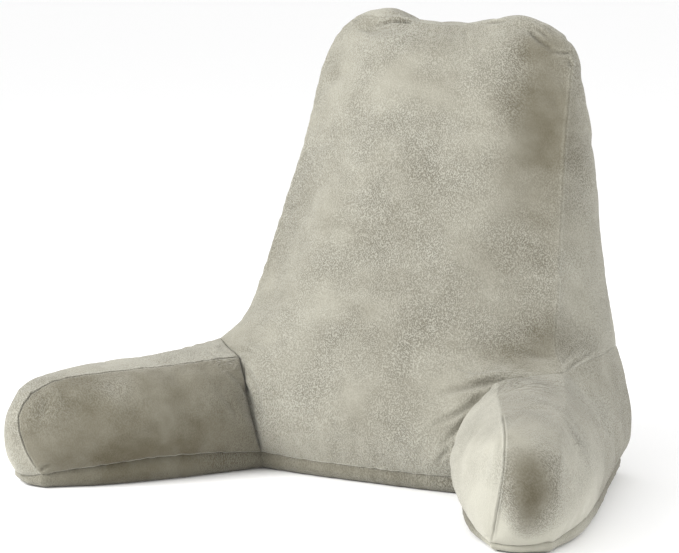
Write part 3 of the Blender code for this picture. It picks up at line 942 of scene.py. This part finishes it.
def crease(points, width, depth, dark):
    """How high a crease lifts the cover and how much its painted shade and highlight darken or lighten it, as two
    rows: a trough with low ridges beside it.

    It fades out at both ends, slowly at the far one, by (1 - a**3) * (1 - (1 - a) ** 12) at a from 0 to 1.
    """
    line = resample(smooth(points), np.linspace(0, 1, CREASE_STEPS + 1))
    start = line[:-1]
    step = np.diff(line, axis=0)
    room = np.ptp(line, axis=0).max() + CREASE_ROOM * width
    near = np.flatnonzero((np.abs(cover - line.mean(axis=0)) < room).all(axis=1))
    offset = cover[near][:, None] - start
    share = ((offset * step).sum(axis=2) / (step**2).sum(axis=1)).clip(0, 1)
    distance = np.linalg.norm(offset - share[..., None] * step, axis=2)
    nearest = distance.argmin(axis=1)
    rows = np.arange(len(near))
    d = distance[rows, nearest] / width
    along = (nearest + share[rows, nearest]) / len(start)
    fade = (1 - along**3) * (1 - (1 - along) ** 12)
    found = np.zeros((2, len(cover)))
    found[0, near] = depth * fade * (RIDGE_HEIGHT * nearness(d - RIDGE_PLACE, 1) - np.exp(-(d**1.5)))
    found[1, near] = dark * fade * (GLEAM * nearness(d - GLEAM_PLACE, 1) - nearness(d, SHADE_WIDTH))
    return found


lift, crease_painted_shade_and_highlight = sum(crease(on_panel(name, shares), *sizes) for name, *sizes, shares in CREASES)
cover = lifted(cover, lift)
print(len(CREASES), "creases, the deepest", round(float(-lift.min()), 4))

# %% [markdown]
# ## Nap
#
# Each panel is cut with its nap one way, so neighbouring panels differ in tone, and hands have brushed it darker
# or lighter in places since. Both are one number for each point, which the plush's colour reads later. So are
# two more: the painted shade and highlight that seams and creases give the plush, and where it is drawn up in fine
# ripples. The nap's number also holds painted light and shade: lighter where a panel or place faces the light,
# darker where it faces away or lies under the pillow.

# %% Where the nap was brushed, and its painted light and shade
PANEL_NAP_AND_PAINTED_LIGHT = {
    # How much lighter (positive) or darker (negative) the nap of a whole panel lies, partly its own nap and partly
    # painted light and shade: the right arm's inner panel lit, the left arm's in shade, the base panel in the
    # pillow's shadow.
    "front": 0.02,
    "rear": 0.0,
    "gusset": 0.11,
    "inner_right": 0.25,
    "strip_right": -0.06,
    "outer_right": -0.02,
    "inner_left": -0.29,
    "strip_left": 0.06,
    "outer_left": 0.06,
    "base": -0.21,
}
BRUSHED_AND_PAINTED_LIGHT = [
    # x, y, z, reach, how much lighter or darker
    # The backrest's front, from the right ear down to the right arm: partly brushed nap, partly painted shade where
    # the front turns from the light and in the folds at the arm's root.
    (0.158, 0.211, 0.602, 0.035, -0.34),
    (0.172, 0.190, 0.535, 0.060, -0.34),
    (0.188, 0.165, 0.455, 0.060, -0.34),
    (0.205, 0.130, 0.370, 0.050, -0.14),
    (0.142, 0.126, 0.423, 0.024, -0.10),
    (0.138, 0.081, 0.313, 0.030, -0.08),
    (0.200, 0.045, 0.196, 0.034, -0.12),
    (0.238, 0.068, 0.202, 0.036, -0.24),
    (0.272, 0.090, 0.215, 0.034, -0.26),
    (0.275, 0.140, 0.198, 0.024, -0.14),
    (0.148, -0.001, 0.154, 0.026, -0.08),
    (0.065, -0.023, 0.111, 0.045, -0.04),
    (0.118, -0.017, 0.046, 0.050, 0.20),
    (-0.100, -0.017, 0.052, 0.080, 0.16),
    (-0.120, 0.040, 0.200, 0.080, 0.06),
    # Painted shade on the hidden side of the left ear, and the right side of the backrest lighter.
    (-0.098, 0.250, 0.632, 0.018, -0.30),
    (0.185, 0.279, 0.517, 0.050, 0.12),
    # The tip of the right arm: brushed nap darker at its front, and painted shade at its outer corner, where the key
    # light falls.
    (0.410, -0.277, 0.120, 0.026, -0.36),
    (0.417, -0.280, 0.084, 0.031, -0.50),
    (0.418, -0.282, 0.050, 0.030, -0.48),
    (0.412, -0.283, 0.028, 0.022, -0.26),
    (0.432, -0.220, 0.070, 0.050, -0.12),
    # The left arm's inner side.
    (-0.283, -0.180, 0.142, 0.035, 0.10),
    (-0.345, -0.264, 0.109, 0.030, 0.10),
    # The base panel, under the right arm, under the left one and at the left arm's root: partly nap, partly painted
    # light and shade, lighter under the right arm and darker in the shade under the left one.
    (0.345, -0.265, 0.010, 0.045, 0.45),
    (0.400, -0.260, 0.010, 0.080, 0.54),
    (0.430, -0.120, 0.010, 0.100, 0.54),
    (0.310, 0.050, 0.110, 0.080, 0.10),
    (-0.425, -0.255, 0.010, 0.045, 0.50),
    (-0.270, -0.170, 0.010, 0.110, -0.20),
    (-0.140, 0.000, 0.010, 0.070, -0.10),
]
RIPPLED = [
    # x, y, z, reach of the places where the plush is drawn up in fine ripples
    (0.250, -0.020, 0.166, 0.042),
    (0.285, -0.025, 0.166, 0.036),
    (0.400, -0.130, 0.125, 0.020),
    (-0.215, -0.020, 0.165, 0.022),
]


GROOVE_PAINTED_SHADE = 0.40  # how much painted shade darkens the plush in the groove of a seam that is 1 dark
RIB_PAINTED_HIGHLIGHT = 0.20  # how much painted highlight lightens it on a rib that is 1 light
SHADE_LINE_SPREAD = 0.4  # how much wider the painted shade line of a seam that is 2 dark


def seam_painted_shade_and_highlight(distance, dark, light):
    """How the plush reads beside a seam: a line of painted shade in the groove at the thread, and painted highlight
    on the rib on either side of it.
    """
    rib = nearness(distance - RIB_PLACE, RIB_WIDTH)
    width = GROOVE_WIDTH * (1 + SHADE_LINE_SPREAD * (dark - 1).clip(0))
    return RIB_PAINTED_HIGHLIGHT * light * rib - GROOVE_PAINTED_SHADE * dark * nearness(distance, width)


def brushed_and_painted_light(points):
    """The sum of the table's bells at each point."""
    amount = np.zeros(len(points))
    for *place, light in BRUSHED_AND_PAINTED_LIGHT:
        amount += light * bell(points, *place)
    return amount


panel_nap_and_painted_light = {name: np.full((*grid.shape, 1), PANEL_NAP_AND_PAINTED_LIGHT[name]) for name, grid in fine_numbers.items()}
cover_nap_and_painted_light = per_point(panel_nap_and_painted_light, fine_numbers, len(cover))[:, 0] + brushed_and_painted_light(cover)
cover_painted_shade_and_highlight = seam_painted_shade_and_highlight(seam_gap, seam_groove_and_shade, seam_rib_and_highlight) + crease_painted_shade_and_highlight
cover_ripple = np.max([bell(cover, *place) for place in RIPPLED], axis=0)
print("nap from", round(float(cover_nap_and_painted_light.min()), 2), "to", round(float(cover_nap_and_painted_light.max()), 2))

# %% [markdown]
# ## The underside
#
# The base panel is one sheet of plush that turns up at its edge to meet the other panels. Seen in plan, the
# underside is the outline of the foot seams, with rings of points a few millimetres inside it, because all of
# its bending happens there. A constrained Delaunay triangulation joins them, with an edge along each line where
# an arm is sewn to the backrest. The filled bodies rest on the sheet with the same net, a little higher.

# %% Outline and net
SHEET = 0.0025
CLEARANCE = 0.0003  # between two pieces that are sewn together
ROUND = 0.016  # how far in from its seam the sheet reaches the floor
RINGS = (SHEET, 0.0035, 0.0047, 0.0062, 0.008, 0.0102, 0.013, ROUND, 0.030)
DENSE_RINGS = 0.009  # the rings nearer the seam than this have all its points, the others every second one
RING_SLACK = 0.97  # a ring's point nearer the seam than this share of its distance is left out
LINE_ROOM = 0.002  # and so is one this near to a line where an arm is sewn on
BELLY = 0.0025  # how far the sheet's upright edge swells outwards
PLAN_PART = 400  # how many points are measured at a time
INSIDE_ONLY = 1  # the triangulation's number for leaving out what lies outside the outline
PLAN_MERGE = 1e-7
WALL_RUN = chain((fine["shoulder"], 5), (fine["depth"], 6))


def to_edge(points, loop):
    """Each point's distance in plan to the loop, the loop's height at the nearest place, and the way there."""
    step = np.roll(loop, -1, axis=0) - loop
    found = []
    for part in np.array_split(points, len(points) // PLAN_PART + 1):
        offset = part[:, None, :2] - loop[None, :, :2]
        share = ((offset * step[:, :2]).sum(axis=2) / (step[:, :2] ** 2).sum(axis=1)).clip(0, 1)
        away = offset - share[..., None] * step[:, :2]
        distance = np.linalg.norm(away, axis=2)
        nearest = distance.argmin(axis=1)
        rows = np.arange(len(part))
        height = loop[nearest, 2] + share[rows, nearest] * step[nearest, 2]
        found.append(np.column_stack([distance[rows, nearest], height, -away[rows, nearest]]))
    found = np.vstack(found)
    return found[:, 0], found[:, 1], found[:, 2:]


def bowl(points, loop, wall):
    """The plan points at their heights: a quarter ellipse down from the seam, then flat at the wall's height.

    The upright part swells outwards by BELLY * sin(pi * h), where h is its share of the seam's height.
    """
    distance, seam, outwards = to_edge(points, loop)
    reach = ((ROUND - distance) / (ROUND - wall)).clip(0, 1)
    height = wall + (seam - wall) * (1 - np.sqrt(1 - reach**2))
    swell = BELLY * np.sin(np.pi * ((height - wall) / (seam - wall)).clip(0, 1)) / distance.clip(1e-6)
    return np.column_stack([points[:, :2] + outwards * (swell * (distance < ROUND))[:, None], height])


def inset(loop, distance):
    """The anticlockwise loop moved in by a distance, with mitred corners."""
    ahead = np.roll(loop, -1, axis=0) - loop
    inward = np.column_stack([-ahead[:, 1], ahead[:, 0]])
    inward /= np.linalg.norm(inward, axis=1, keepdims=True)
    before = np.roll(inward, 1, axis=0)
    mitre = (before + inward) / (1 + (before * inward).sum(axis=1, keepdims=True)).clip(0.3)
    return np.column_stack([loop[:, :2] + distance * mitre, loop[:, 2]])


loop_numbers, corners = foot_loop()
outline = cover[loop_numbers]
feet = {side: resample(outline[list(ends)], WALL_RUN) for side, ends in corners.items()}
rings = []
for distance in RINGS:
    ring = inset(outline, distance)[::1 if distance < DENSE_RINGS else 2]
    apart = to_edge(ring, outline)[0] > RING_SLACK * distance
    clear = np.minimum(*[to_edge(ring, foot[[0, -1]])[0] for foot in feet.values()]) > LINE_ROOM
    rings.append(ring[apart & clear])
plan = np.vstack([outline, feet["right"][1:-1], feet["left"][1:-1], *rings])
edge = len(outline)
between = len(WALL_RUN) - 2
paths = [
    [*range(edge), 0],
    [corners["right"][0], *range(edge, edge + between), corners["right"][1]],
    [corners["left"][0], *range(edge + between, edge + 2 * between), corners["left"][1]],
]
links = [link for path in paths for link in zip(path, path[1:])]
net = delaunay_2d_cdt([tuple(point) for point in plan[:, :2]], links, [], INSIDE_ONLY, PLAN_MERGE)
source = [sources[0] for sources in net[3]]
triangles = np.array([[source[number] for number in face] for face in net[2]])
print("underside", len(plan), "points", len(triangles), "triangles")

# %% [markdown]
# ## Closing the bodies
#
# The backrest and each arm are filled separately and sewn to each other, so each gets a hidden wall where they
# meet and an underside of its own. Each closed body is then drawn in by a hair along its normals, which leaves
# the fine gap that reads as the seam between them.

# %% Backrest, arms and base panel
DRAW_IN = 0.00012


def beyond(line):
    """Which triangles of the underside lie to the right of a line in plan."""
    middle = plan[triangles].mean(axis=1)
    step = line[-1] - line[0]
    offset = middle - line[0]
    return step[0] * offset[:, 1] - step[1] * offset[:, 0] < 0


def hidden_wall(side):
    """The patch inside the seams that an arm shares with the backrest, down to the underside."""
    column = -1 if side == "right" else 0
    foot = len(fine["foot"])
    front = cover[fine_numbers["front"][column]]
    root = front[:foot]
    shoulder = front[foot - 1:foot + len(fine["shoulder"]) - 1]
    rear_foot = cover[fine_numbers["rear"][column, :foot]]
    hip = cover[fine_numbers["gusset"][0 if side == "right" else -1]]
    floor = bowl(feet[side], outline, SHEET + CLEARANCE)
    return coons(floor, join(shoulder, hip), root, rear_foot, WALL_RUN, fine["foot"])


def mesh_object(name, rows, faces):
    """A smooth mesh at the origin from rows of x, y, z, nap with its painted light and shade, the painted shade and
    highlight of seams and creases (tone), and ripple.
    """
    mesh = bpy.data.meshes.new(name)
    mesh.from_pydata((rows[:, :3] + CENTRE_SHIFT).tolist(), [], faces)
    mesh.shade_smooth()
    # The tone attribute holds the painted shade and highlight of seams and creases, and the nap attribute painted
    # light and shade as well as the nap.
    for column, fact in ((3, "nap"), (4, "tone"), (5, "ripple")):
        attribute = mesh.attributes.new(fact, "FLOAT", "POINT")
        attribute.data.foreach_set("value", rows[:, column].astype(np.float32))
    piece = bpy.data.objects.new(name, mesh)
    bpy.context.collection.objects.link(piece)
    return piece


def tight(rows, squares, threes):
    """The rows that the faces use, with those at the same place made one, and the faces to match."""
    first, number = merged(rows[:, :3])
    corners = np.concatenate([number[squares].reshape(-1), number[threes].reshape(-1)])
    used, order = np.unique(corners, return_inverse=True)
    order = order.reshape(-1)
    return rows[first[used]], order[:squares.size].reshape(-1, 4), order[squares.size:].reshape(-1, 3)


def filled_body(name, panels, walls, under):
    """A closed body from panels of the cover, hidden walls as (grid, turn) and its share of the underside."""
    squares = [quads(fine_numbers[panel], fine_panels[panel].outwards) for panel in panels]
    hidden = [bowl(plan, outline, SHEET + CLEARANCE)]
    count = len(cover) + len(plan)
    for grid, outwards in walls:
        squares.append(quads(count + np.arange(grid[..., 0].size).reshape(grid.shape[:2]), outwards))
        hidden.append(grid.reshape(-1, 3))
        count += len(hidden[-1])
    shown = np.column_stack([cover, cover_nap_and_painted_light, cover_painted_shade_and_highlight, cover_ripple])
    hidden = np.vstack(hidden)
    rows = np.vstack([shown, np.column_stack([hidden, np.zeros((len(hidden), 3))])])
    rows, squares, threes = tight(rows, np.vstack(squares), triangles[under][:, ::-1] + len(cover))
    normal = normals_of(rows[:, :3], np.vstack([halves(squares), threes]))
    rows[:, :3] -= DRAW_IN * normal
    return mesh_object(name, rows, squares.tolist() + threes.tolist())


walls = {side: hidden_wall(side) for side in ("right", "left")}
under = {"right": beyond(feet["right"]), "left": beyond(feet["left"][::-1])}
pieces = {
    "backrest": filled_body(
        "backrest",
        ["front", "rear", "gusset"],
        [(walls["right"], True), (walls["left"], False)],
        ~(under["right"] | under["left"]),
    ),
}
for side in ("right", "left"):
    pieces[f"arm_{side}"] = filled_body(
        f"arm_{side}",
        [f"inner_{side}", f"strip_{side}", f"outer_{side}"],
        [(walls[side], side == "left")],
        under[side],
    )

rim = outline - (0, 0, CLEARANCE)
sheet = np.vstack([bowl(plan, rim, 0), bowl(plan, rim, SHEET)])
# The base panel's nap, with its painted shade and painted light.
rows = np.column_stack([sheet, PANEL_NAP_AND_PAINTED_LIGHT["base"] + brushed_and_painted_light(sheet), np.zeros((len(sheet), 2))])
# The two layers meet at the rim, so a triangle with all its corners there would be a flap with no thickness.
thick = triangles[(triangles >= len(outline)).any(axis=1)]
both_faces = np.vstack([thick[:, ::-1], thick + len(plan)])
rows, _, threes = tight(rows, np.zeros((0, 4), int), both_faces)
pieces["base_panel"] = mesh_object("base_panel", rows, threes.tolist())
print("faces of each piece", {name: len(piece.data.polygons) for name, piece in pieces.items()})

# %% [markdown]
# ## Plush
#
# Short plush has no weave to see. Its look is the nap: each fibre leans the way it was last stroked, and an area
# that leans away from the light is darker. So the colour is a mix of a dark and a light shade of the same
# fabric, and the mix comes from noise of five sizes: hand-sized patches, long streaks, thumb-sized mottling,
# short strokes and the pile itself. The strokes stand upright in some places and slant in others. They and the
# pile are clearer in some patches than in others, and calmer where the nap lies far to one side:
# 1 - NAP_CALMS * (nap - FREE_NAP) ** 2. Strokes, pile and mottling also raise the surface a little. Three values
# stored on the mesh join in: the nap of the place, which also holds painted light and shade, the painted shade
# and highlight that seams and creases give it, and where it ripples.

# %% The nap's patterns
PATTERNS = {
    # Scale, detail and roughness of each noise, then how much longer and how far turned it is along each axis.
    "patches": (7.0, 2.0, 0.5, (1, 1, 1), (0, 0, 0)),
    "streaks": (22.0, 2.0, 0.5, (2.2, 1, 0.7), (0, 0, 0)),
    "mottling": (34.0, 3.0, 0.6, (1, 1, 1.5), (0, -0.9, 0)),
    "upright": (680.0, 0.0, 0.5, (1, 1, 1.6), (0, 0.15, 0)),
    "slanting": (680.0, 0.0, 0.5, (1, 1, 1.8), (0, -0.9, 0)),
    "pile": (1100.0, 1.0, 0.5, (1, 1, 1), (0, 0, 0)),
    "where slanting": (6.0, 1.0, 0.5, (1, 1, 1), (0, 0, 0)),
    "where clear": (11.0, 2.0, 0.5, (1, 1, 1), (0, 0, 0)),
}
RIPPLE_WAVE = {"Scale": 39.0, "Distortion": 10.0, "Detail": 2.0, "Detail Scale": 2.2}
RIPPLE_STRETCH = (1, 3, 0.35)
RIPPLE_TURN = (0, 0, -1.0)
SLANT_STEP = (0.42, 0.58)  # where its noise turns the strokes from upright to slanting
STROKE_STEP = (0.34, 0.66)  # where their noise goes from a dark stroke to a light one

# How much of the way from dark to light each pattern takes, and how much of the bump's height.
TONES = {"patches": 0.40, "mottling": 0.28, "streaks": 0.24, "strokes": 0.42, "pile": 0.46, "ripple": 0.32}
HEIGHTS = {"mottling": 0.9, "strokes": 0.9, "pile": 0.7, "ripple": 2.2}
MIDDLE_TONE = 0.56  # where a nap of 0 lies between dark and light
SEAM_SHADE = 0.75  # how much of the colour a tone of -1 takes away
ROUGH, MORE_ROUGH = 0.80, 0.12  # roughness, and how much the mottling adds

# How clear the strokes and the pile are, how much that varies and between what, and what calms them.
CLEAR, CLEAR_SWING = 0.75, 2.4
LEAST_CLEAR, MOST_CLEAR = 0.25, 1.3
FREE_NAP, NAP_CALMS = 0.05, 5.0
print("noises of the nap", list(PATTERNS))

# %% The nap as a node group
def nap_group():
    """Colour, roughness and height of plush, from object coordinates and the three stored values."""
    tree = bpy.data.node_groups.new("nap", "ShaderNodeTree")
    for name, kind in (("Place", "NodeSocketVector"), ("Dark", "NodeSocketColor"), ("Light", "NodeSocketColor")):
        tree.interface.new_socket(name, in_out="INPUT", socket_type=kind)
    for name, kind in (("Color", "NodeSocketColor"), ("Roughness", "NodeSocketFloat"), ("Height", "NodeSocketFloat")):
        tree.interface.new_socket(name, in_out="OUTPUT", socket_type=kind)
    nodes, link = tree.nodes, tree.links.new
    given = nodes.new("NodeGroupInput")
    made = nodes.new("NodeGroupOutput")

    def placed(kind, stretch, turn):
        """A texture node whose pattern is longer by a stretch, along turned axes."""
        mapping = nodes.new("ShaderNodeMapping")
        mapping.vector_type = "TEXTURE"
        mapping.inputs["Rotation"].default_value = turn
        mapping.inputs["Scale"].default_value = stretch
        link(given.outputs["Place"], mapping.inputs["Vector"])
        texture = nodes.new(kind)
        link(mapping.outputs["Vector"], texture.inputs["Vector"])
        return texture

    def noise(scale, detail, rough, stretch, turn):
        """Noise between about 0.2 and 0.8."""
        texture = placed("ShaderNodeTexNoise", stretch, turn)
        for socket, value in (("Scale", scale), ("Detail", detail), ("Roughness", rough)):
            texture.inputs[socket].default_value = value
        return texture.outputs["Fac"]

    def crisp(value, low, high):
        """0 below low, 1 above high, and a smooth step between."""
        node = nodes.new("ShaderNodeMapRange")
        node.interpolation_type = "SMOOTHSTEP"
        node.inputs["From Min"].default_value = low
        node.inputs["From Max"].default_value = high
        link(value, node.inputs["Value"])
        return node.outputs["Result"]

    def maths(operation, *values):
        """A maths node on sockets or plain numbers."""
        node = nodes.new("ShaderNodeMath")
        node.operation = operation
        for socket, value in zip(node.inputs, values):
            if isinstance(value, (int, float)):
                socket.default_value = value
            else:
                link(value, socket)
        return node.outputs[0]

    def stored(name):
        """A value kept on the mesh."""
        node = nodes.new("ShaderNodeAttribute")
        node.attribute_name = name
        return node.outputs["Fac"]

    def swing(value, size):
        """The value about its middle, times a size."""
        return maths("MULTIPLY", maths("SUBTRACT", value, 0.5), size)

    def between(first, second, share):
        """The first value where the share is 0, the second where it is 1."""
        return maths("MULTIPLY_ADD", maths("SUBTRACT", second, first), share, first)

    pattern = {name: noise(*how) for name, how in PATTERNS.items()}
    slanted = crisp(pattern["where slanting"], *SLANT_STEP)
    strokes = crisp(between(pattern["upright"], pattern["slanting"], slanted), *STROKE_STEP)
    mottling, pile = pattern["mottling"], pattern["pile"]
    wave = placed("ShaderNodeTexWave", RIPPLE_STRETCH, RIPPLE_TURN)
    wave.bands_direction = "DIAGONAL"
    for socket, value in RIPPLE_WAVE.items():
        wave.inputs[socket].default_value = value
    ripple = maths("MULTIPLY", maths("SUBTRACT", wave.outputs["Fac"], 0.5), stored("ripple"))

    # A light tone, the painted highlight of seams and creases, moves the mix towards the light shade. A dark one,
    # their painted shade, scales the colour down, whatever the mix.
    light = maths("MAXIMUM", stored("tone"), 0.0)
    shade = maths("MULTIPLY_ADD", maths("MINIMUM", stored("tone"), 0.0), SEAM_SHADE, 1.0)
    # The stored nap, with the painted light and shade that it holds, moves the mix as well.
    lean = maths("ADD", maths("ADD", stored("nap"), light), MIDDLE_TONE)

    clear = maths("ADD", swing(pattern["where clear"], CLEAR_SWING), CLEAR)
    clear = maths("MINIMUM", maths("MAXIMUM", clear, LEAST_CLEAR), MOST_CLEAR)
    laid = maths("SUBTRACT", stored("nap"), FREE_NAP)
    calm = maths("SUBTRACT", 1.0, maths("MULTIPLY", maths("MULTIPLY", laid, laid), NAP_CALMS))
    clear = maths("MULTIPLY", clear, maths("MAXIMUM", calm, LEAST_CLEAR))

    grain = maths("ADD", swing(strokes, TONES["strokes"]), swing(pile, TONES["pile"]))
    mix = maths("ADD", swing(pattern["patches"], TONES["patches"]), swing(mottling, TONES["mottling"]))
    mix = maths("ADD", mix, swing(pattern["streaks"], TONES["streaks"]))
    mix = maths("ADD", mix, maths("MULTIPLY", grain, clear))
    mix = maths("ADD", mix, maths("MULTIPLY_ADD", ripple, TONES["ripple"], lean))
    blend = nodes.new("ShaderNodeMix")
    blend.data_type = "RGBA"
    link(mix, blend.inputs["Factor"])
    link(given.outputs["Dark"], blend.inputs["A"])
    link(given.outputs["Light"], blend.inputs["B"])
    shaded = nodes.new("ShaderNodeVectorMath")
    shaded.operation = "SCALE"
    link(blend.outputs["Result"], shaded.inputs[0])
    link(shade, shaded.inputs["Scale"])
    link(shaded.outputs[0], made.inputs["Color"])
    link(maths("MULTIPLY_ADD", mottling, MORE_ROUGH, ROUGH), made.inputs["Roughness"])

    height = maths("MULTIPLY_ADD", pile, HEIGHTS["pile"], maths("MULTIPLY", strokes, HEIGHTS["strokes"]))
    height = maths("MULTIPLY_ADD", mottling, HEIGHTS["mottling"], maths("MULTIPLY", height, clear))
    link(maths("MULTIPLY_ADD", ripple, HEIGHTS["ripple"], height), made.inputs["Height"])
    return tree


nap = nap_group()
print("nodes in the nap group", len(nap.nodes))

# %% Two plushes
def plush(name, dark, light):
    """A plush between two shades."""
    paint = bpy.data.materials.new(name)
    paint.use_nodes = True
    nodes, link = paint.node_tree.nodes, paint.node_tree.links.new
    shader = nodes["Principled BSDF"]
    shader.inputs["Sheen Weight"].default_value = 0.35
    shader.inputs["Sheen Roughness"].default_value = 0.4
    shader.inputs["Sheen Tint"].default_value = (0.93, 0.91, 0.85, 1)
    shader.inputs["Specular IOR Level"].default_value = 0.15
    place = nodes.new("ShaderNodeTexCoord")
    group = nodes.new("ShaderNodeGroup")
    group.node_tree = nap
    group.inputs["Dark"].default_value = (*dark, 1)
    group.inputs["Light"].default_value = (*light, 1)
    bump = nodes.new("ShaderNodeBump")
    bump.inputs["Strength"].default_value = 0.8
    bump.inputs["Distance"].default_value = 0.0018
    link(place.outputs["Object"], group.inputs["Place"])
    link(group.outputs["Color"], shader.inputs["Base Color"])
    link(group.outputs["Roughness"], shader.inputs["Roughness"])
    link(group.outputs["Height"], bump.inputs["Height"])
    link(bump.outputs["Normal"], shader.inputs["Normal"])
    return paint


paints = {
    "plush": plush("plush", (0.085, 0.073, 0.045), (0.404, 0.393, 0.333)),
    # The base panel's plush is a little darker: partly its nap, partly painted shade under the pillow.
    "plush_base": plush("plush_base", (0.080, 0.069, 0.042), (0.350, 0.340, 0.284)),
}
for name, piece in pieces.items():
    slot = "plush_base" if name == "base_panel" else "plush"
    piece.data.materials.append(paints[slot])
    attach(piece, "root")
    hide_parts(name)
print("materials", {name: piece.data.materials[0].name for name, piece in pieces.items()})

# %% [markdown]
# ## What the pieces are
#
# The three filled bodies are cushions, and the base panel is a sheet: it was cut flat, a little longer and wider
# than its outline because its edge turns up. The last line measures the area of the base panel's lower face.

flat_area = float(np.linalg.norm(crosses(bowl(plan, rim, 0), triangles), axis=1).sum() / 2)
